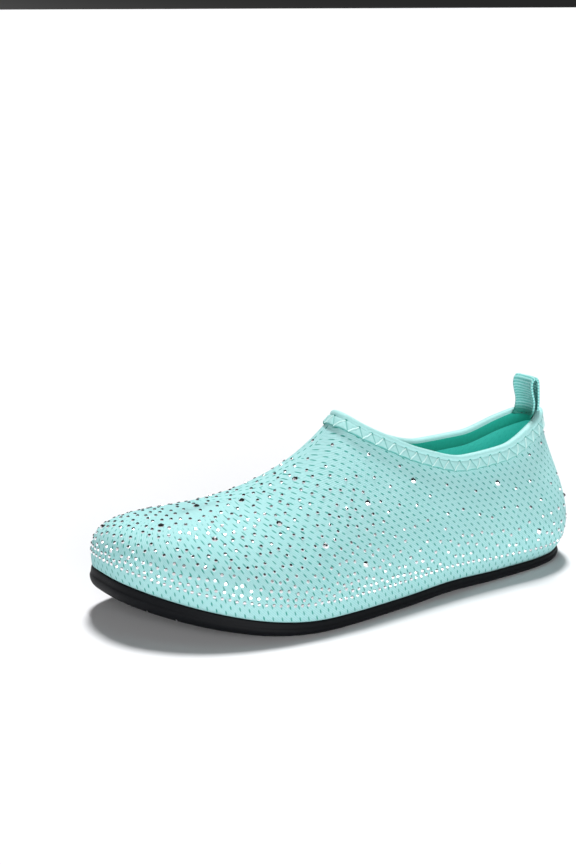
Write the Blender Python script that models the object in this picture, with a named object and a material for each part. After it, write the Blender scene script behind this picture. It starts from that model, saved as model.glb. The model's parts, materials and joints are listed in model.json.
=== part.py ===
"""Left slip-on water shoe: knit upper on a moulded rubber sole.

The shoe stands on its sole with the toe towards -Y and its outer side towards +X.
Sizes are in millimetres. A station is the distance from the back of the heel
towards the toe, and a side offset is positive towards the outer side of the foot.
"""
import math

import bmesh
import bpy
import numpy as np
from mathutils import Vector
from mathutils.bvhtree import BVHTree

MM = 0.001

# Driving dimensions
SOLE_LENGTH = 250.0
BODY_CENTRE_STATION = 123.0
BODY_CENTRE_SIDE = -1.45
PIECE_GAP = 0.3

# Outline of the sole from the heel to the tip of the toe, outer then inner side
OUTER_EDGE = (  # station, side offset
    (0.0, 0.0), (4.0, 16.5), (14.0, 26.8), (32.0, 32.8), (60.0, 36.2), (90.0, 39.6),
    (120.0, 43.5), (150.0, 47.8), (178.0, 49.2), (200.0, 44.5), (216.0, 35.8),
    (230.0, 24.1), (241.0, 10.0), (248.0, -5.0), (SOLE_LENGTH, -20.0),
)
INNER_EDGE = (  # station, side offset
    (248.6, -36.0), (240.4, -46.8), (223.5, -52.0), (200.0, -51.0), (178.0, -45.9),
    (155.0, -37.3), (130.0, -29.4), (100.0, -26.2), (70.0, -28.5), (45.0, -31.2),
    (24.0, -30.6), (8.0, -22.5),
)
EDGE_STEPS = 24

# How the underside leaves the floor
TOE_SPRING = 13.5
TOE_SPRING_START = 162.0
HEEL_RISE = 2.0
HEEL_RISE_END = 20.0
WAIST_LIFT = 1.0
WAIST_STATIONS = (58.0, 124.0)

# Height of the side band of the sole above the underside
BAND_HEIGHT = ((0.0, 4.5), (80.0, 5.3), (170.0, 6.0), (SOLE_LENGTH, 9.5))  # station, height

# Side band and footbed of the sole, from the floor up and round to the middle
BAND_PROFILE = (  # inset from the edge, share of the band height
    (1.9, 0.0), (0.7, 0.14), (0.0, 0.45), (0.25, 0.78), (0.9, 0.96), (1.5, 1.0),
)
LEDGE_INSET = 3.3
FOOTBED_INSET = 3.9
FOOTBED_THICKNESS = 4.0
SOLE_PAIRS = 40

# Insole
INSOLE_INSET = 4.4
INSOLE_THICKNESS = 3.2
INSOLE_EDGE = 0.7

# Upper
WALL = 1.8
UPPER_INSET = 1.3
UPPER_PAIRS = 36
COLLAR_PAIRS = 20
UPPER_ROWS = 10
COLLAR_SHARE = COLLAR_PAIRS / UPPER_PAIRS
COLLAR_BACK = 8.0
THROAT = 132.0
TOE_CREST_END = 212.0
CREST_SPREAD = 1.5
COLLAR_HALF_WIDTH = 19.1
COLLAR_ROUNDNESS = 0.80
SIDE_TOP_HANDLE = 0.35
HANDLE_EASING = 0.0045
COLLAR_DROP = 1.3

COLLAR_HEIGHT = (  # station, height
    (7.0, 76.5), (22.0, 70.8), (44.5, 63.7), (69.5, 62.8), (94.5, 69.4),
    (114.5, 78.6), (125.8, 84.8), (132.0, 89.4),
)
CREST = (  # station, height, side offset
    (132.0, 89.4, 0.0), (142.0, 77.7, -0.6), (155.0, 67.3, -1.1), (172.0, 57.6, -2.8),
    (190.0, 52.0, -6.0), (212.0, 50.0, -9.4),
)
RIB_FEET = (  # share of the ribs, share of the way from heel to toe where that rib starts
    (0.0, 0.0), (0.28, 0.275), (0.45, 0.475), (COLLAR_SHARE, 0.625), (0.78, 0.83), (1.0, 1.0),
)
RIB_SHAPE = (  # share of the ribs, outward flare, seam handle, top handle
    (0.0, 23.0, 0.30, 0.50), (0.12, 18.5, 0.30, 0.50), (0.35, 2.8, 0.38, 0.50),
    (COLLAR_SHARE, 1.2, 0.34, 0.31), (0.78, 5.6, 0.71, 0.74), (1.0, 5.8, 0.83, 0.88),
)
RIB_LEAN = (  # share of the ribs, degrees that the top leans in
    (0.0, 18.0), (0.12, 13.0), (0.35, 20.0), (COLLAR_SHARE, 16.0), (1.0, 16.0),
)

# Collar binding, a folded tape over the top edge of the upper
BINDING_STATIONS = 2 * COLLAR_PAIRS
BINDING_STEP = 1.0
BINDING_SECTION = (  # depth below the edge of the upper, offset outwards from its face
    (7.2, 0.6), (7.2, 1.2), (2.9, 1.4), (2.0, 1.2), (1.2, 1.5), (0.0, 1.5),
    (-1.0, 0.6), (-1.35, -0.8), (-1.0, -2.2), (0.0, -3.1), (2.0, -3.15), (6.6, -2.9),
    (6.6, -2.4), (2.0, -2.6), (-0.5, -2.6), (-0.5, 0.8), (4.6, 0.8),
)

# Pull loop, a doubled webbing tape at the back of the collar
LOOP_WIDTH = 14.2
LOOP_TAPE = 1.2
LOOP_ACROSS = 8
LOOP_SEAT = 0.6
LOOP_PROBE = (60.0, 100.0)  # station and height from which the binding is looked for
LOOP_SEWN = (69.6, 71.4, 73.2)  # heights where the inner leaf lies against the binding
LOOP_FREE = (  # station, height of the middle of the tape, from the inner leaf over the top
    (12.0, 79.0), (13.6, 83.5), (15.0, 88.0), (14.9, 90.6), (13.2, 92.2), (11.4, 91.2),
    (10.4, 88.0), (9.7, 83.5), (9.1, 79.6),
)
LOOP_FOOT = 9.4
LOOP_BEND_LEFT = 0.5

# Tread: everything below is cut up from the underside or stands in a cut field
CUT_START = -3.0
FIELD_DEPTH = 1.5
FIELD_BORDER = 7.2
FIELD_TRIM = 2.0
FIELD_STRIPS = (170.0, 178.0, 186.0, 194.0, 202.0)  # stations where the field bends up to the toe
ARCH_DEPTH = 0.8
ARCH_WALL = 1.6
ARCH_TRIM = 4.0
LUG_ROOT = 0.5
HEX_PITCH = 10.2
HEX_WIDTH = 8.2
HEX_TAPER = 0.35
HEX_TURN = -5.5
HEX_START = (139.0, 33.2)
HEX_CLEARANCE = 0.4
RING_WALL = 1.7
RING_GAP = 1.5
RING_CORE = 2.5
RING_SIDES = 14
RINGS = (  # station, side offset, outer radius
    (176.2, -13.5, 13.5), (161.2, 27.8, 9.1), (147.8, -1.6, 9.9), (124.0, 6.5, 6.5),
    (100.9, 7.6, 6.3), (78.5, 4.5, 6.5), (60.6, -4.5, 6.5), (60.6, 19.1, 7.8), (33.7, 0.0, 11.1),
)
FIELD_FRONT = (  # station, side offset, from the outer to the inner edge
    (174.5, 36.0), (183.5, 26.0), (192.0, 13.0), (198.0, 1.0), (201.5, -12.0),
    (202.0, -24.0), (199.0, -35.0), (193.0, -42.0),
)
ARCH_EDGE = (  # station, side offset, from the ball to the heel
    (157.0, -29.5), (147.4, -20.5), (135.2, -10.8), (117.6, -2.7), (99.0, -2.5),
    (85.2, -7.4), (71.0, -14.2), (60.0, -23.6),
)
GROOVE_WIDTH = 1.2
GROOVE_DEPTH = 1.2
DIMPLE_RADIUS = 3.8
DIMPLE_SIDES = 10
DIMPLES = (  # station, side offset
    (188.0, 33.0), (199.5, 20.0), (207.8, 6.0), (212.5, -8.9), (211.9, -23.9),
)
TOE_PADS = (  # base station, base side, tip station, tip side, half-width, bars
    (199.5, 32.0, 215.5, 25.5, 6.2, 3), (210.5, 16.0, 229.0, 14.5, 5.6, 4),
    (217.5, 0.0, 238.0, 1.5, 6.0, 4), (219.5, -16.0, 243.5, -12.0, 6.2, 5),
    (213.5, -36.5, 240.0, -30.0, 7.0, 5),
)
BAR_RISE = 3.0
FIRST_BAR = 0.72

COLOURS = {  # linear red, green, blue; roughness
    "outsole": ((0.014, 0.017, 0.021), 0.62),
    "insole": ((0.035, 0.300, 0.265), 0.85),
    "upper": ((0.330, 0.720, 0.690), 0.75),
    "collar_binding": ((0.400, 0.770, 0.745), 0.60),
    "pull_loop": ((0.250, 0.640, 0.600), 0.70),
}


def clear_scene():
    for old in list(bpy.data.objects):
        bpy.data.objects.remove(old, do_unlink=True)


def material(name):
    colour, roughness = COLOURS[name]
    mat = bpy.data.materials.new(name)
    mat.use_nodes = True
    shader = mat.node_tree.nodes["Principled BSDF"]
    shader.inputs["Base Color"].default_value = (*colour, 1.0)
    shader.inputs["Roughness"].default_value = roughness
    shader.inputs["Metallic"].default_value = 0.0
    return mat


def place(station, side, height):
    """World position of a point given in the shoe's own measures."""
    return Vector(((side - BODY_CENTRE_SIDE) * MM, (BODY_CENTRE_STATION - station) * MM, height * MM))


def add_object(name, bm, guide=False):
    mesh = bpy.data.meshes.new(name)
    bm.to_mesh(mesh)
    bm.free()
    obj = bpy.data.objects.new(name, mesh)
    bpy.context.scene.collection.objects.link(obj)
    if guide:
        obj.hide_render = True
        obj.display_type = "WIRE"
    else:
        mesh.materials.append(material(name))
        mesh.shade_smooth()
        mesh.set_sharp_from_angle(angle=math.radians(35.0))
    return obj


def smooth_table(value, stations, values):
    """Read a table along a smooth curve that never overshoots its rows."""
    x = np.asarray(stations, float)
    y = np.asarray(values, float)
    step = np.diff(x)
    slope = np.diff(y) / step
    tangent = np.concatenate(([slope[0]], np.zeros(len(x) - 2), [slope[-1]]))
    for i in range(1, len(x) - 1):
        if slope[i - 1] * slope[i] > 0.0:
            before = 2.0 * step[i] + step[i - 1]
            after = step[i] + 2.0 * step[i - 1]
            tangent[i] = (before + after) / (before / slope[i - 1] + after / slope[i])
    at = np.clip(np.asarray(value, float), x[0], x[-1])
    i = np.clip(np.searchsorted(x, at, side="right") - 1, 0, len(x) - 2)
    t = (at - x[i]) / step[i]
    rise = y[i] * (1 + 2 * t) * (1 - t) ** 2 + y[i + 1] * (3 - 2 * t) * t**2
    return rise + step[i] * t * (1 - t) * (tangent[i] * (1 - t) - tangent[i + 1] * t)


def column(table, index):
    return [row[index] for row in table]


def underside(station):
    """Height of the underside of the sole above the floor."""
    s = np.asarray(station, float)
    toe = np.clip((s - TOE_SPRING_START) / (SOLE_LENGTH - TOE_SPRING_START), 0.0, 1.0)
    heel = np.clip((HEEL_RISE_END - s) / HEEL_RISE_END, 0.0, 1.0)
    back, front = WAIST_STATIONS
    waist = np.clip((s - back) / (front - back), 0.0, 1.0)
    return TOE_SPRING * toe**2 + HEEL_RISE * heel**2 + WAIST_LIFT * np.sin(math.pi * waist) ** 2


def band_height(station):
    return smooth_table(station, column(BAND_HEIGHT, 0), column(BAND_HEIGHT, 1))


def edge_curve():
    """Closed smooth curve through the outline, as fine points, and the toe tip's index."""
    points = np.array(OUTER_EDGE + INNER_EDGE)
    count = len(points)
    at = np.arange(count * EDGE_STEPS) / EDGE_STEPS
    i = at.astype(int)
    t = (at - i)[:, None]
    a, b, c, d = (points[(i + shift) % count] for shift in (-1, 0, 1, 2))
    curve = b + 0.5 * (c - a) * t
    curve += (a - 2.5 * b + 2 * c - 0.5 * d) * t**2 + 0.5 * (3 * b - a - 3 * c + d) * t**3
    return curve, (len(OUTER_EDGE) - 1) * EDGE_STEPS


def spaced(points, shares):
    """Points at the given shares of the length of a polyline."""
    length = np.concatenate(([0.0], np.cumsum(np.linalg.norm(np.diff(points, axis=0), axis=1))))
    return np.column_stack([np.interp(shares * length[-1], length, points[:, k]) for k in (0, 1)])


def edge_sides(inset, shares):
    """Outer and inner side of the outline, both from heel to toe, moved in by inset."""
    curve, toe = edge_curve()
    along = np.roll(curve, -1, axis=0) - np.roll(curve, 1, axis=0)
    along /= np.linalg.norm(along, axis=1)[:, None]
    outward = np.column_stack((-along[:, 1], along[:, 0]))
    moved = curve - outward * inset
    outer = spaced(moved[: toe + 1], shares)
    inner = spaced(np.vstack((moved[toe:], moved[:1]))[::-1], shares)
    return outer, inner


def closed_ring(inset, pairs):
    outer, inner = edge_sides(inset, np.linspace(0.0, 1.0, pairs + 1))
    return np.vstack((outer, inner[-2:0:-1]))


def ladder(bm, ring):
    """Close a ring with faces that run across the foot from side to side."""
    count = len(ring)
    half = count // 2
    for i in range(half):
        corners = [ring[i], ring[i + 1], ring[(count - i - 1) % count], ring[(count - i) % count]]
        bm.faces.new(list(dict.fromkeys(corners)))


def stack_rings(rings):
    """Closed body from rings of world points, first and last ring closed by ladders."""
    bm = bmesh.new()
    rows = [[bm.verts.new(point) for point in ring] for ring in rings]
    for low, high in zip(rows, rows[1:]):
        for i in range(len(low)):
            j = (i + 1) % len(low)
            bm.faces.new((low[i], low[j], high[j], high[i]))
    ladder(bm, rows[0])
    ladder(bm, rows[-1])
    bmesh.ops.triangulate(bm, faces=bm.faces[:])
    bmesh.ops.recalc_face_normals(bm, faces=bm.faces[:])
    return bm


def sole_body():
    rings = []
    for inset, share in BAND_PROFILE:
        ring = closed_ring(inset, SOLE_PAIRS)
        height = underside(ring[:, 0]) + share * band_height(ring[:, 0])
        rings.append([place(s, x, z) for (s, x), z in zip(ring, height)])
    ledge = closed_ring(LEDGE_INSET, SOLE_PAIRS)
    height = underside(ledge[:, 0]) + band_height(ledge[:, 0])
    rings.append([place(s, x, z) for (s, x), z in zip(ledge, height)])
    bed = closed_ring(FOOTBED_INSET, SOLE_PAIRS)
    rings.append([place(s, x, z + FOOTBED_THICKNESS) for (s, x), z in zip(bed, underside(bed[:, 0]))])
    return stack_rings(rings)


def make_insole():
    rings = []
    for inset, share in ((INSOLE_EDGE, 0.0), (0.0, 0.2), (0.0, 0.75), (INSOLE_EDGE, 1.0)):
        ring = closed_ring(INSOLE_INSET + inset, SOLE_PAIRS // 2)
        floor = underside(ring[:, 0]) + FOOTBED_THICKNESS + PIECE_GAP
        rings.append([place(s, x, z + share * INSOLE_THICKNESS) for (s, x), z in zip(ring, floor)])
    return add_object("insole", stack_rings(rings))


def collar_centre():
    return 0.5 * (COLLAR_BACK + THROAT), 0.5 * (THROAT - COLLAR_BACK)


def rib_tops(share, side):
    """Where each rib ends: round the collar first, then along the crest to the toe."""
    centre, reach = collar_centre()
    on_collar = share <= COLLAR_SHARE + 1e-9
    turn = math.pi * np.clip(share / COLLAR_SHARE, 0.0, 1.0)
    ahead = np.clip((share - COLLAR_SHARE) / (1.0 - COLLAR_SHARE), 0.0, 1.0)
    crest = THROAT + (TOE_CREST_END - THROAT) * (1.0 - (1.0 - ahead) ** CREST_SPREAD)
    station = np.where(on_collar, centre - reach * np.cos(turn), crest)
    half_width = COLLAR_HALF_WIDTH * np.abs(np.sin(turn)) ** COLLAR_ROUNDNESS
    half_width = np.where(on_collar, half_width, 0.0)
    rim = smooth_table(station, column(COLLAR_HEIGHT, 0), column(COLLAR_HEIGHT, 1)) - COLLAR_DROP
    ridge = smooth_table(station, column(CREST, 0), column(CREST, 1)) - COLLAR_DROP * (1.0 - ahead) ** 4
    ridge_side = smooth_table(station, column(CREST, 0), column(CREST, 2))
    offset = np.where(on_collar, side * half_width, ridge_side)
    height = np.where(on_collar, rim, ridge)
    across = np.where(turn > 0.5 * math.pi, 1.0 - (half_width / COLLAR_HALF_WIDTH) ** 1.5, 0.0)
    return np.column_stack((station, offset, height)), np.where(on_collar, across, 1.0)


def crest_slope(station):
    """Fall of the crest for each step towards the toe."""
    behind = np.clip(station, THROAT, TOE_CREST_END - 1.0)
    ends = (behind, behind + 1.0)
    back, front = (smooth_table(end, column(CREST, 0), column(CREST, 1)) for end in ends)
    return back - front


def upper_ribs(pairs, rows):
    """Outer face of the upper: one Bezier rib from the seam to the top for each step round.

    The ribs go up the outer side from heel to toe and back along the inner side. A rib
    starts at the seam with a flare, and ends level on the crest or leaning in at the collar.
    """
    share = np.arange(pairs + 1) / pairs
    flare, seam_handle, top_handle = (
        smooth_table(share, column(RIB_SHAPE, 0), column(RIB_SHAPE, k)) for k in (1, 2, 3)
    )
    lean = np.tan(np.radians(smooth_table(share, column(RIB_LEAN, 0), column(RIB_LEAN, 1))))
    feet = smooth_table(share, column(RIB_FEET, 0), column(RIB_FEET, 1))
    v = np.linspace(0.0, 1.0, rows + 1)[None, :, None]
    halves = []
    for side, foot in zip((1.0, -1.0), edge_sides(UPPER_INSET, feet)):
        seam = underside(foot[:, 0]) + band_height(foot[:, 0]) + PIECE_GAP
        start = np.column_stack((foot, seam))
        end, level = rib_tops(share, side)
        way = end[:, :2] - start[:, :2]
        reach = np.linalg.norm(way, axis=1)
        inward = way / reach[:, None]
        tall = end[:, 2] - start[:, 2]
        low = start.copy()
        low[:, :2] -= inward * flare[:, None]
        low[:, 2] += tall * seam_handle
        steep = (1.0 - level) * tall * SIDE_TOP_HANDLE
        forward = np.clip(-inward[:, 0], 0.0, 1.0) * crest_slope(end[:, 0])
        high = end.copy()
        high[:, :2] -= inward * (reach * top_handle * level + steep * lean)[:, None]
        high[:, 2] -= steep + reach * top_handle * level * forward
        halves.append(np.stack((start, low, high, end), axis=1))
    ribs = np.concatenate((halves[0], halves[1][-2:0:-1]))
    for _ in range(round(HANDLE_EASING * pairs**2)):
        ribs[:, 1:3] = 0.5 * ribs[:, 1:3] + 0.25 * (np.roll(ribs, 1, 0) + np.roll(ribs, -1, 0))[:, 1:3]
    start, low, high, end = (ribs[:, k, None] for k in range(4))
    return (1 - v) ** 3 * start + 3 * (1 - v) ** 2 * v * low + 3 * (1 - v) * v**2 * high + v**3 * end


def upper_sheet(pairs, rows):
    """Mesh of the outer face, its ribs joined along the crest."""
    bm = bmesh.new()
    grid = [[bm.verts.new(place(*point)) for point in rib] for rib in upper_ribs(pairs, rows)]
    count = len(grid)
    for i in range(count):
        j = (i + 1) % count
        for k in range(rows):
            bm.faces.new((grid[i][k], grid[j][k], grid[j][k + 1], grid[i][k + 1]))
    bmesh.ops.remove_doubles(bm, verts=bm.verts[:], dist=0.02 * MM)
    bmesh.ops.dissolve_degenerate(bm, edges=bm.edges[:], dist=0.01 * MM)
    bmesh.ops.recalc_face_normals(bm, faces=bm.faces[:])
    if sum(face.normal.z * face.calc_area() for face in bm.faces) < 0.0:
        bmesh.ops.reverse_faces(bm, faces=bm.faces[:])
    return bm


def make_upper():
    obj = add_object("upper", upper_sheet(UPPER_PAIRS, UPPER_ROWS))
    wall = obj.modifiers.new("knit_wall", "SOLIDIFY")
    wall.thickness = WALL * MM
    wall.offset = -1.0
    wall.use_even_offset = True
    return obj


def collar_edge(count):
    """Top edge of the upper as a closed loop, from the back round the outer side."""
    centre, reach = collar_centre()
    turn = np.arange(count) * 2.0 * math.pi / count
    station = centre - reach * np.cos(turn)
    side = COLLAR_HALF_WIDTH * np.sign(np.sin(turn)) * np.abs(np.sin(turn)) ** COLLAR_ROUNDNESS
    height = smooth_table(station, column(COLLAR_HEIGHT, 0), column(COLLAR_HEIGHT, 1)) - COLLAR_DROP
    return [place(*row) for row in zip(station, side, height)]


def walk_down(tree, start, tangent, depths):
    """Points and normals on the outer face at the given depths below the collar edge."""
    point = start.copy()
    normal = tree.find_nearest(start)[1]
    found = {0.0: (point.copy(), normal.copy())}
    walked = 0.0
    while walked < max(depths) - 1e-6:
        step = min(BINDING_STEP, min(d for d in depths if d > walked + 1e-6) - walked)
        down = normal.cross(tangent).normalized()
        if down.z > 0.0:
            down.negate()
        nearest = tree.find_nearest(point + down * step * MM)
        point, normal = nearest[0], nearest[1]
        walked += step
        found[round(walked, 3)] = (point.copy(), normal.copy())
    return found


def make_binding():
    sheet = upper_sheet(UPPER_PAIRS, UPPER_ROWS)
    tree = BVHTree.FromBMesh(sheet)
    sheet.free()
    edge = collar_edge(BINDING_STATIONS)
    depths = sorted({depth for depth, _ in BINDING_SECTION if depth > 0.0})
    rings = []
    for i, start in enumerate(edge):
        tangent = (edge[(i + 1) % len(edge)] - edge[i - 1]).normalized()
        found = walk_down(tree, start, tangent, depths)
        top_normal = found[0.0][1]
        up = (start - found[depths[0]][0]).normalized()
        ring = []
        for depth, offset in BINDING_SECTION:
            if depth > 0.0:
                point, normal = found[round(depth, 3)]
                ring.append(point + normal * offset * MM)
            else:
                ring.append(start + up * -depth * MM + top_normal * offset * MM)
        rings.append(ring)
    bm = bmesh.new()
    rows = [[bm.verts.new(point) for point in ring] for ring in rings]
    size = len(BINDING_SECTION)
    for i, row in enumerate(rows):
        other = rows[(i + 1) % len(rows)]
        for k in range(size):
            m = (k + 1) % size
            bm.faces.new((row[k], row[m], other[m], other[k]))
    bmesh.ops.recalc_face_normals(bm, faces=bm.faces[:])
    faces = BVHTree.FromBMesh(bm)
    add_object("collar_binding", bm)
    return faces


def collar_bow(side):
    """How far the back of the collar has curved forwards at a side offset."""
    turn = math.asin((abs(side) / COLLAR_HALF_WIDTH) ** (1.0 / COLLAR_ROUNDNESS))
    return collar_centre()[1] * (1.0 - math.cos(turn))


def loop_row(tree, side):
    """Middle line of the tape at one side offset: up the inside, over, down onto the roll."""
    low, high = LOOP_FREE[0][1], max(column(LOOP_FREE, 1))
    probe_station, probe_height = LOOP_PROBE
    half = 0.5 * LOOP_TAPE + LOOP_SEAT
    route = []
    for height in LOOP_SEWN:
        hit, normal, _, _ = tree.ray_cast(place(probe_station, side, height), Vector((0.0, 1.0, 0.0)))
        route.append((BODY_CENTRE_STATION - hit.y / MM + half / abs(normal.y), height))
    for station, height in LOOP_FREE:
        risen = min(max((height - low) / (high - low), 0.0), 1.0)
        route.append((station + collar_bow(side) * (1.0 - (1.0 - LOOP_BEND_LEFT) * risen), height))
    foot = LOOP_FOOT + collar_bow(side)
    hit = tree.ray_cast(place(foot, side, probe_height), Vector((0.0, 0.0, -1.0)))[0]
    route.append((foot, hit.z / MM + LOOP_SEAT))
    return np.array(route)


def make_pull_loop(tree):
    bm = bmesh.new()
    rows = []
    for side in np.linspace(-0.5, 0.5, LOOP_ACROSS + 1) * LOOP_WIDTH:
        route = loop_row(tree, side)
        along = np.gradient(route, axis=0)
        along /= np.linalg.norm(along, axis=1)[:, None]
        out = np.column_stack((along[:, 1], -along[:, 0])) * 0.5 * LOOP_TAPE
        section = np.vstack((route + out, (route - out)[::-1]))
        rows.append([bm.verts.new(place(s, side, z)) for s, z in section])
    size = len(rows[0])
    for row, other in zip(rows, rows[1:]):
        for k in range(size):
            m = (k + 1) % size
            bm.faces.new((row[k], row[m], other[m], other[k]))
    for row in (rows[0], rows[-1]):
        for k in range(size // 2 - 1):
            bm.faces.new((row[k], row[k + 1], row[size - k - 2], row[size - k - 1]))
    bmesh.ops.recalc_face_normals(bm, faces=bm.faces[:])
    return add_object("pull_loop", bm)


def inside(point, outline):
    """Whether a plan point lies inside a closed plan outline."""
    odd = False
    for (s0, x0), (s1, x1) in zip(outline, np.roll(outline, -1, axis=0)):
        if (x0 > point[1]) != (x1 > point[1]):
            if point[0] < s0 + (s1 - s0) * (point[1] - x0) / (x1 - x0):
                odd = not odd
    return odd


def edge_distance(point, outline):
    """Shortest distance from a plan point to a closed plan outline."""
    ahead = np.roll(outline, -1, axis=0) - outline
    share = np.sum((point - outline) * ahead, axis=1) / np.sum(ahead**2, axis=1)
    nearest = outline + np.clip(share, 0.0, 1.0)[:, None] * ahead
    return np.linalg.norm(nearest - point, axis=1).min()


def tread_field():
    """Plan outline of the recessed field that holds the hexagons and rings."""
    border = closed_ring(FIELD_BORDER, SOLE_PAIRS)
    half = len(border) // 2
    outer, inner = border[: half + 1], border[half:]
    front = np.array(FIELD_FRONT)
    arch = np.array(ARCH_EDGE)
    outer = outer[outer[:, 0] < front[0, 0] - FIELD_TRIM]
    ball = inner[(inner[:, 0] < front[-1, 0] - FIELD_TRIM) & (inner[:, 0] > arch[0, 0] + FIELD_TRIM)]
    heel = inner[inner[:, 0] < arch[-1, 0] - FIELD_TRIM]
    return np.vstack((outer, front, ball, arch, heel))


def arch_panel():
    """Plan outline of the smooth recessed panel under the arch."""
    border = closed_ring(FIELD_BORDER, SOLE_PAIRS)
    inner = border[len(border) // 2 :]
    arch = np.array(ARCH_EDGE) - (0.0, ARCH_WALL)
    side = inner[(inner[:, 0] > arch[-1, 0] + FIELD_TRIM) & (inner[:, 0] < arch[0, 0] - ARCH_TRIM)]
    return np.vstack((arch, side[::-1]))


def prism(bm, outline, low, high, strips=(), taper=0.0):
    """Upright prism whose ends follow the underside, low and high above it."""
    faces = [bm.faces.new([bm.verts.new((s, x, 0.0)) for s, x in outline])]
    for station in strips:
        geom = list(faces)
        geom += {edge for face in faces for edge in face.edges}
        geom += {vert for face in faces for vert in face.verts}
        cut = bmesh.ops.bisect_plane(bm, geom=geom, plane_co=(station, 0, 0), plane_no=(1, 0, 0))
        faces = [item for item in cut["geom"] if isinstance(item, bmesh.types.BMFace)]
    grown = bmesh.ops.extrude_face_region(bm, geom=faces, use_keep_orig=True)
    top = {item for item in grown["geom"] if isinstance(item, bmesh.types.BMVert)}
    bottom = {vert for face in faces for vert in face.verts}
    middle = np.mean(outline, axis=0)
    for vert in bottom | top:
        plan = np.array(vert.co[:2])
        if vert in bottom:
            away = plan - middle
            plan = plan - away / np.linalg.norm(away) * taper
        height = high if vert in top else low
        vert.co = place(*plan, float(underside(plan[0])) + height)


def polygon(station, side, radius, sides, turn=0.0):
    angle = turn + np.arange(sides) * 2.0 * math.pi / sides
    return np.column_stack((station + radius * np.sin(angle), side + radius * np.cos(angle)))


def hex_centres(field):
    """Honeycomb places that fit inside the field and clear of the rings."""
    turn = math.radians(HEX_TURN)
    row = HEX_PITCH * np.array((math.cos(turn), math.sin(turn)))
    rank = HEX_PITCH * np.array((math.cos(turn + math.pi / 3.0), math.sin(turn + math.pi / 3.0)))
    reach = math.ceil(SOLE_LENGTH / HEX_PITCH)
    clear = 0.5 * HEX_WIDTH + HEX_CLEARANCE
    for a in range(-reach, reach + 1):
        for b in range(-reach, reach + 1):
            point = np.array(HEX_START) + a * row + b * rank
            if not inside(point, field) or edge_distance(point, field) < clear:
                continue
            if min(math.hypot(point[0] - s, point[1] - x) - r for s, x, r in RINGS) > clear:
                yield point


def ring_lug(bm, station, side, outer, inner):
    """One raised ring, a square-cut loop that follows the underside."""
    top = FIELD_DEPTH + LUG_ROOT
    loops = []
    for radius, height in ((outer, 0.0), (inner, 0.0), (inner, top), (outer, top)):
        points = polygon(station, side, radius, RING_SIDES)
        loops.append([bm.verts.new(place(s, x, float(underside(s)) + height)) for s, x in points])
    for low, high in zip(loops, loops[1:] + loops[:1]):
        for i in range(RING_SIDES):
            j = (i + 1) % RING_SIDES
            bm.faces.new((low[i], low[j], high[j], high[i]))


def add_ring(bm, station, side, radius):
    """Raised ring round a raised disc, with more rings round the largest disc."""
    outer = radius
    while outer > RING_WALL + RING_GAP + RING_CORE:
        ring_lug(bm, station, side, outer, outer - RING_WALL)
        outer -= RING_WALL + RING_GAP
        if radius < RINGS[0][2]:
            break
    prism(bm, polygon(station, side, outer, RING_SIDES), 0.0, FIELD_DEPTH + LUG_ROOT)


def toe_bars(pad):
    """Chevron grooves of one toe pad, as plan polygons."""
    base_s, base_x, tip_s, tip_x, half, bars = pad
    base, tip = np.array((base_s, base_x)), np.array((tip_s, tip_x))
    along = (tip - base) / np.linalg.norm(tip - base)
    across = np.array((-along[1], along[0]))
    for k in range(bars):
        middle = base + (tip - base) * k / (bars - 1)
        wide = half * (FIRST_BAR if k == 0 else 1.0)
        arm = GROOVE_WIDTH * along
        left = middle + across * wide + along * BAR_RISE
        right = middle - across * wide + along * BAR_RISE
        yield np.array((middle, left, left + arm, middle + arm, right + arm, right))


def finish_cutter(name, bm):
    bmesh.ops.triangulate(bm, faces=bm.faces[:])
    bmesh.ops.recalc_face_normals(bm, faces=bm.faces[:])
    return add_object(name, bm, guide=True)


def make_outsole():
    sole = add_object("outsole", sole_body())
    field = tread_field()
    cuts = bmesh.new()
    prism(cuts, field, CUT_START, FIELD_DEPTH, FIELD_STRIPS)
    prism(cuts, arch_panel(), CUT_START, ARCH_DEPTH)
    for s, x in DIMPLES:
        prism(cuts, polygon(s, x, DIMPLE_RADIUS, DIMPLE_SIDES), CUT_START, GROOVE_DEPTH)
    for pad in TOE_PADS:
        for bar in toe_bars(pad):
            prism(cuts, bar, CUT_START, GROOVE_DEPTH)
    lugs = bmesh.new()
    for s, x in hex_centres(field):
        outline = polygon(s, x, HEX_WIDTH / math.sqrt(3.0), 6, math.radians(HEX_TURN))
        prism(lugs, outline, 0.0, FIELD_DEPTH + LUG_ROOT, taper=HEX_TAPER)
    for ring in RINGS:
        add_ring(lugs, *ring)
    for operation, tool in (
        ("DIFFERENCE", finish_cutter("tread_cuts", cuts)),
        ("UNION", finish_cutter("tread_lugs", lugs)),
    ):
        step = sole.modifiers.new(tool.name, "BOOLEAN")
        step.operation = operation
        step.solver = "EXACT"
        step.object = tool
    return sole


def main():
    clear_scene()
    make_outsole()
    make_insole()
    make_upper()
    binding_faces = make_binding()
    make_pull_loop(binding_faces)


main()
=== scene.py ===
# %% [markdown]
# # A knitted water shoe
#
# A water shoe is a sock with a sole: a stretch knit pulled over a last, a soft tape round its
# collar, and a thin rubber sole glued underneath. This file dresses the solid parts of such a
# shoe with the cloth, stitches, stones and rubber that make it look real. All sizes are in
# millimetres until the last step, where one function turns them into Blender's metres.

# %% The frame and its box
import json
import math

import bmesh
import bpy
import numpy as np
from mathutils import Matrix, Vector
from mathutils.bvhtree import BVHTree

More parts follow.
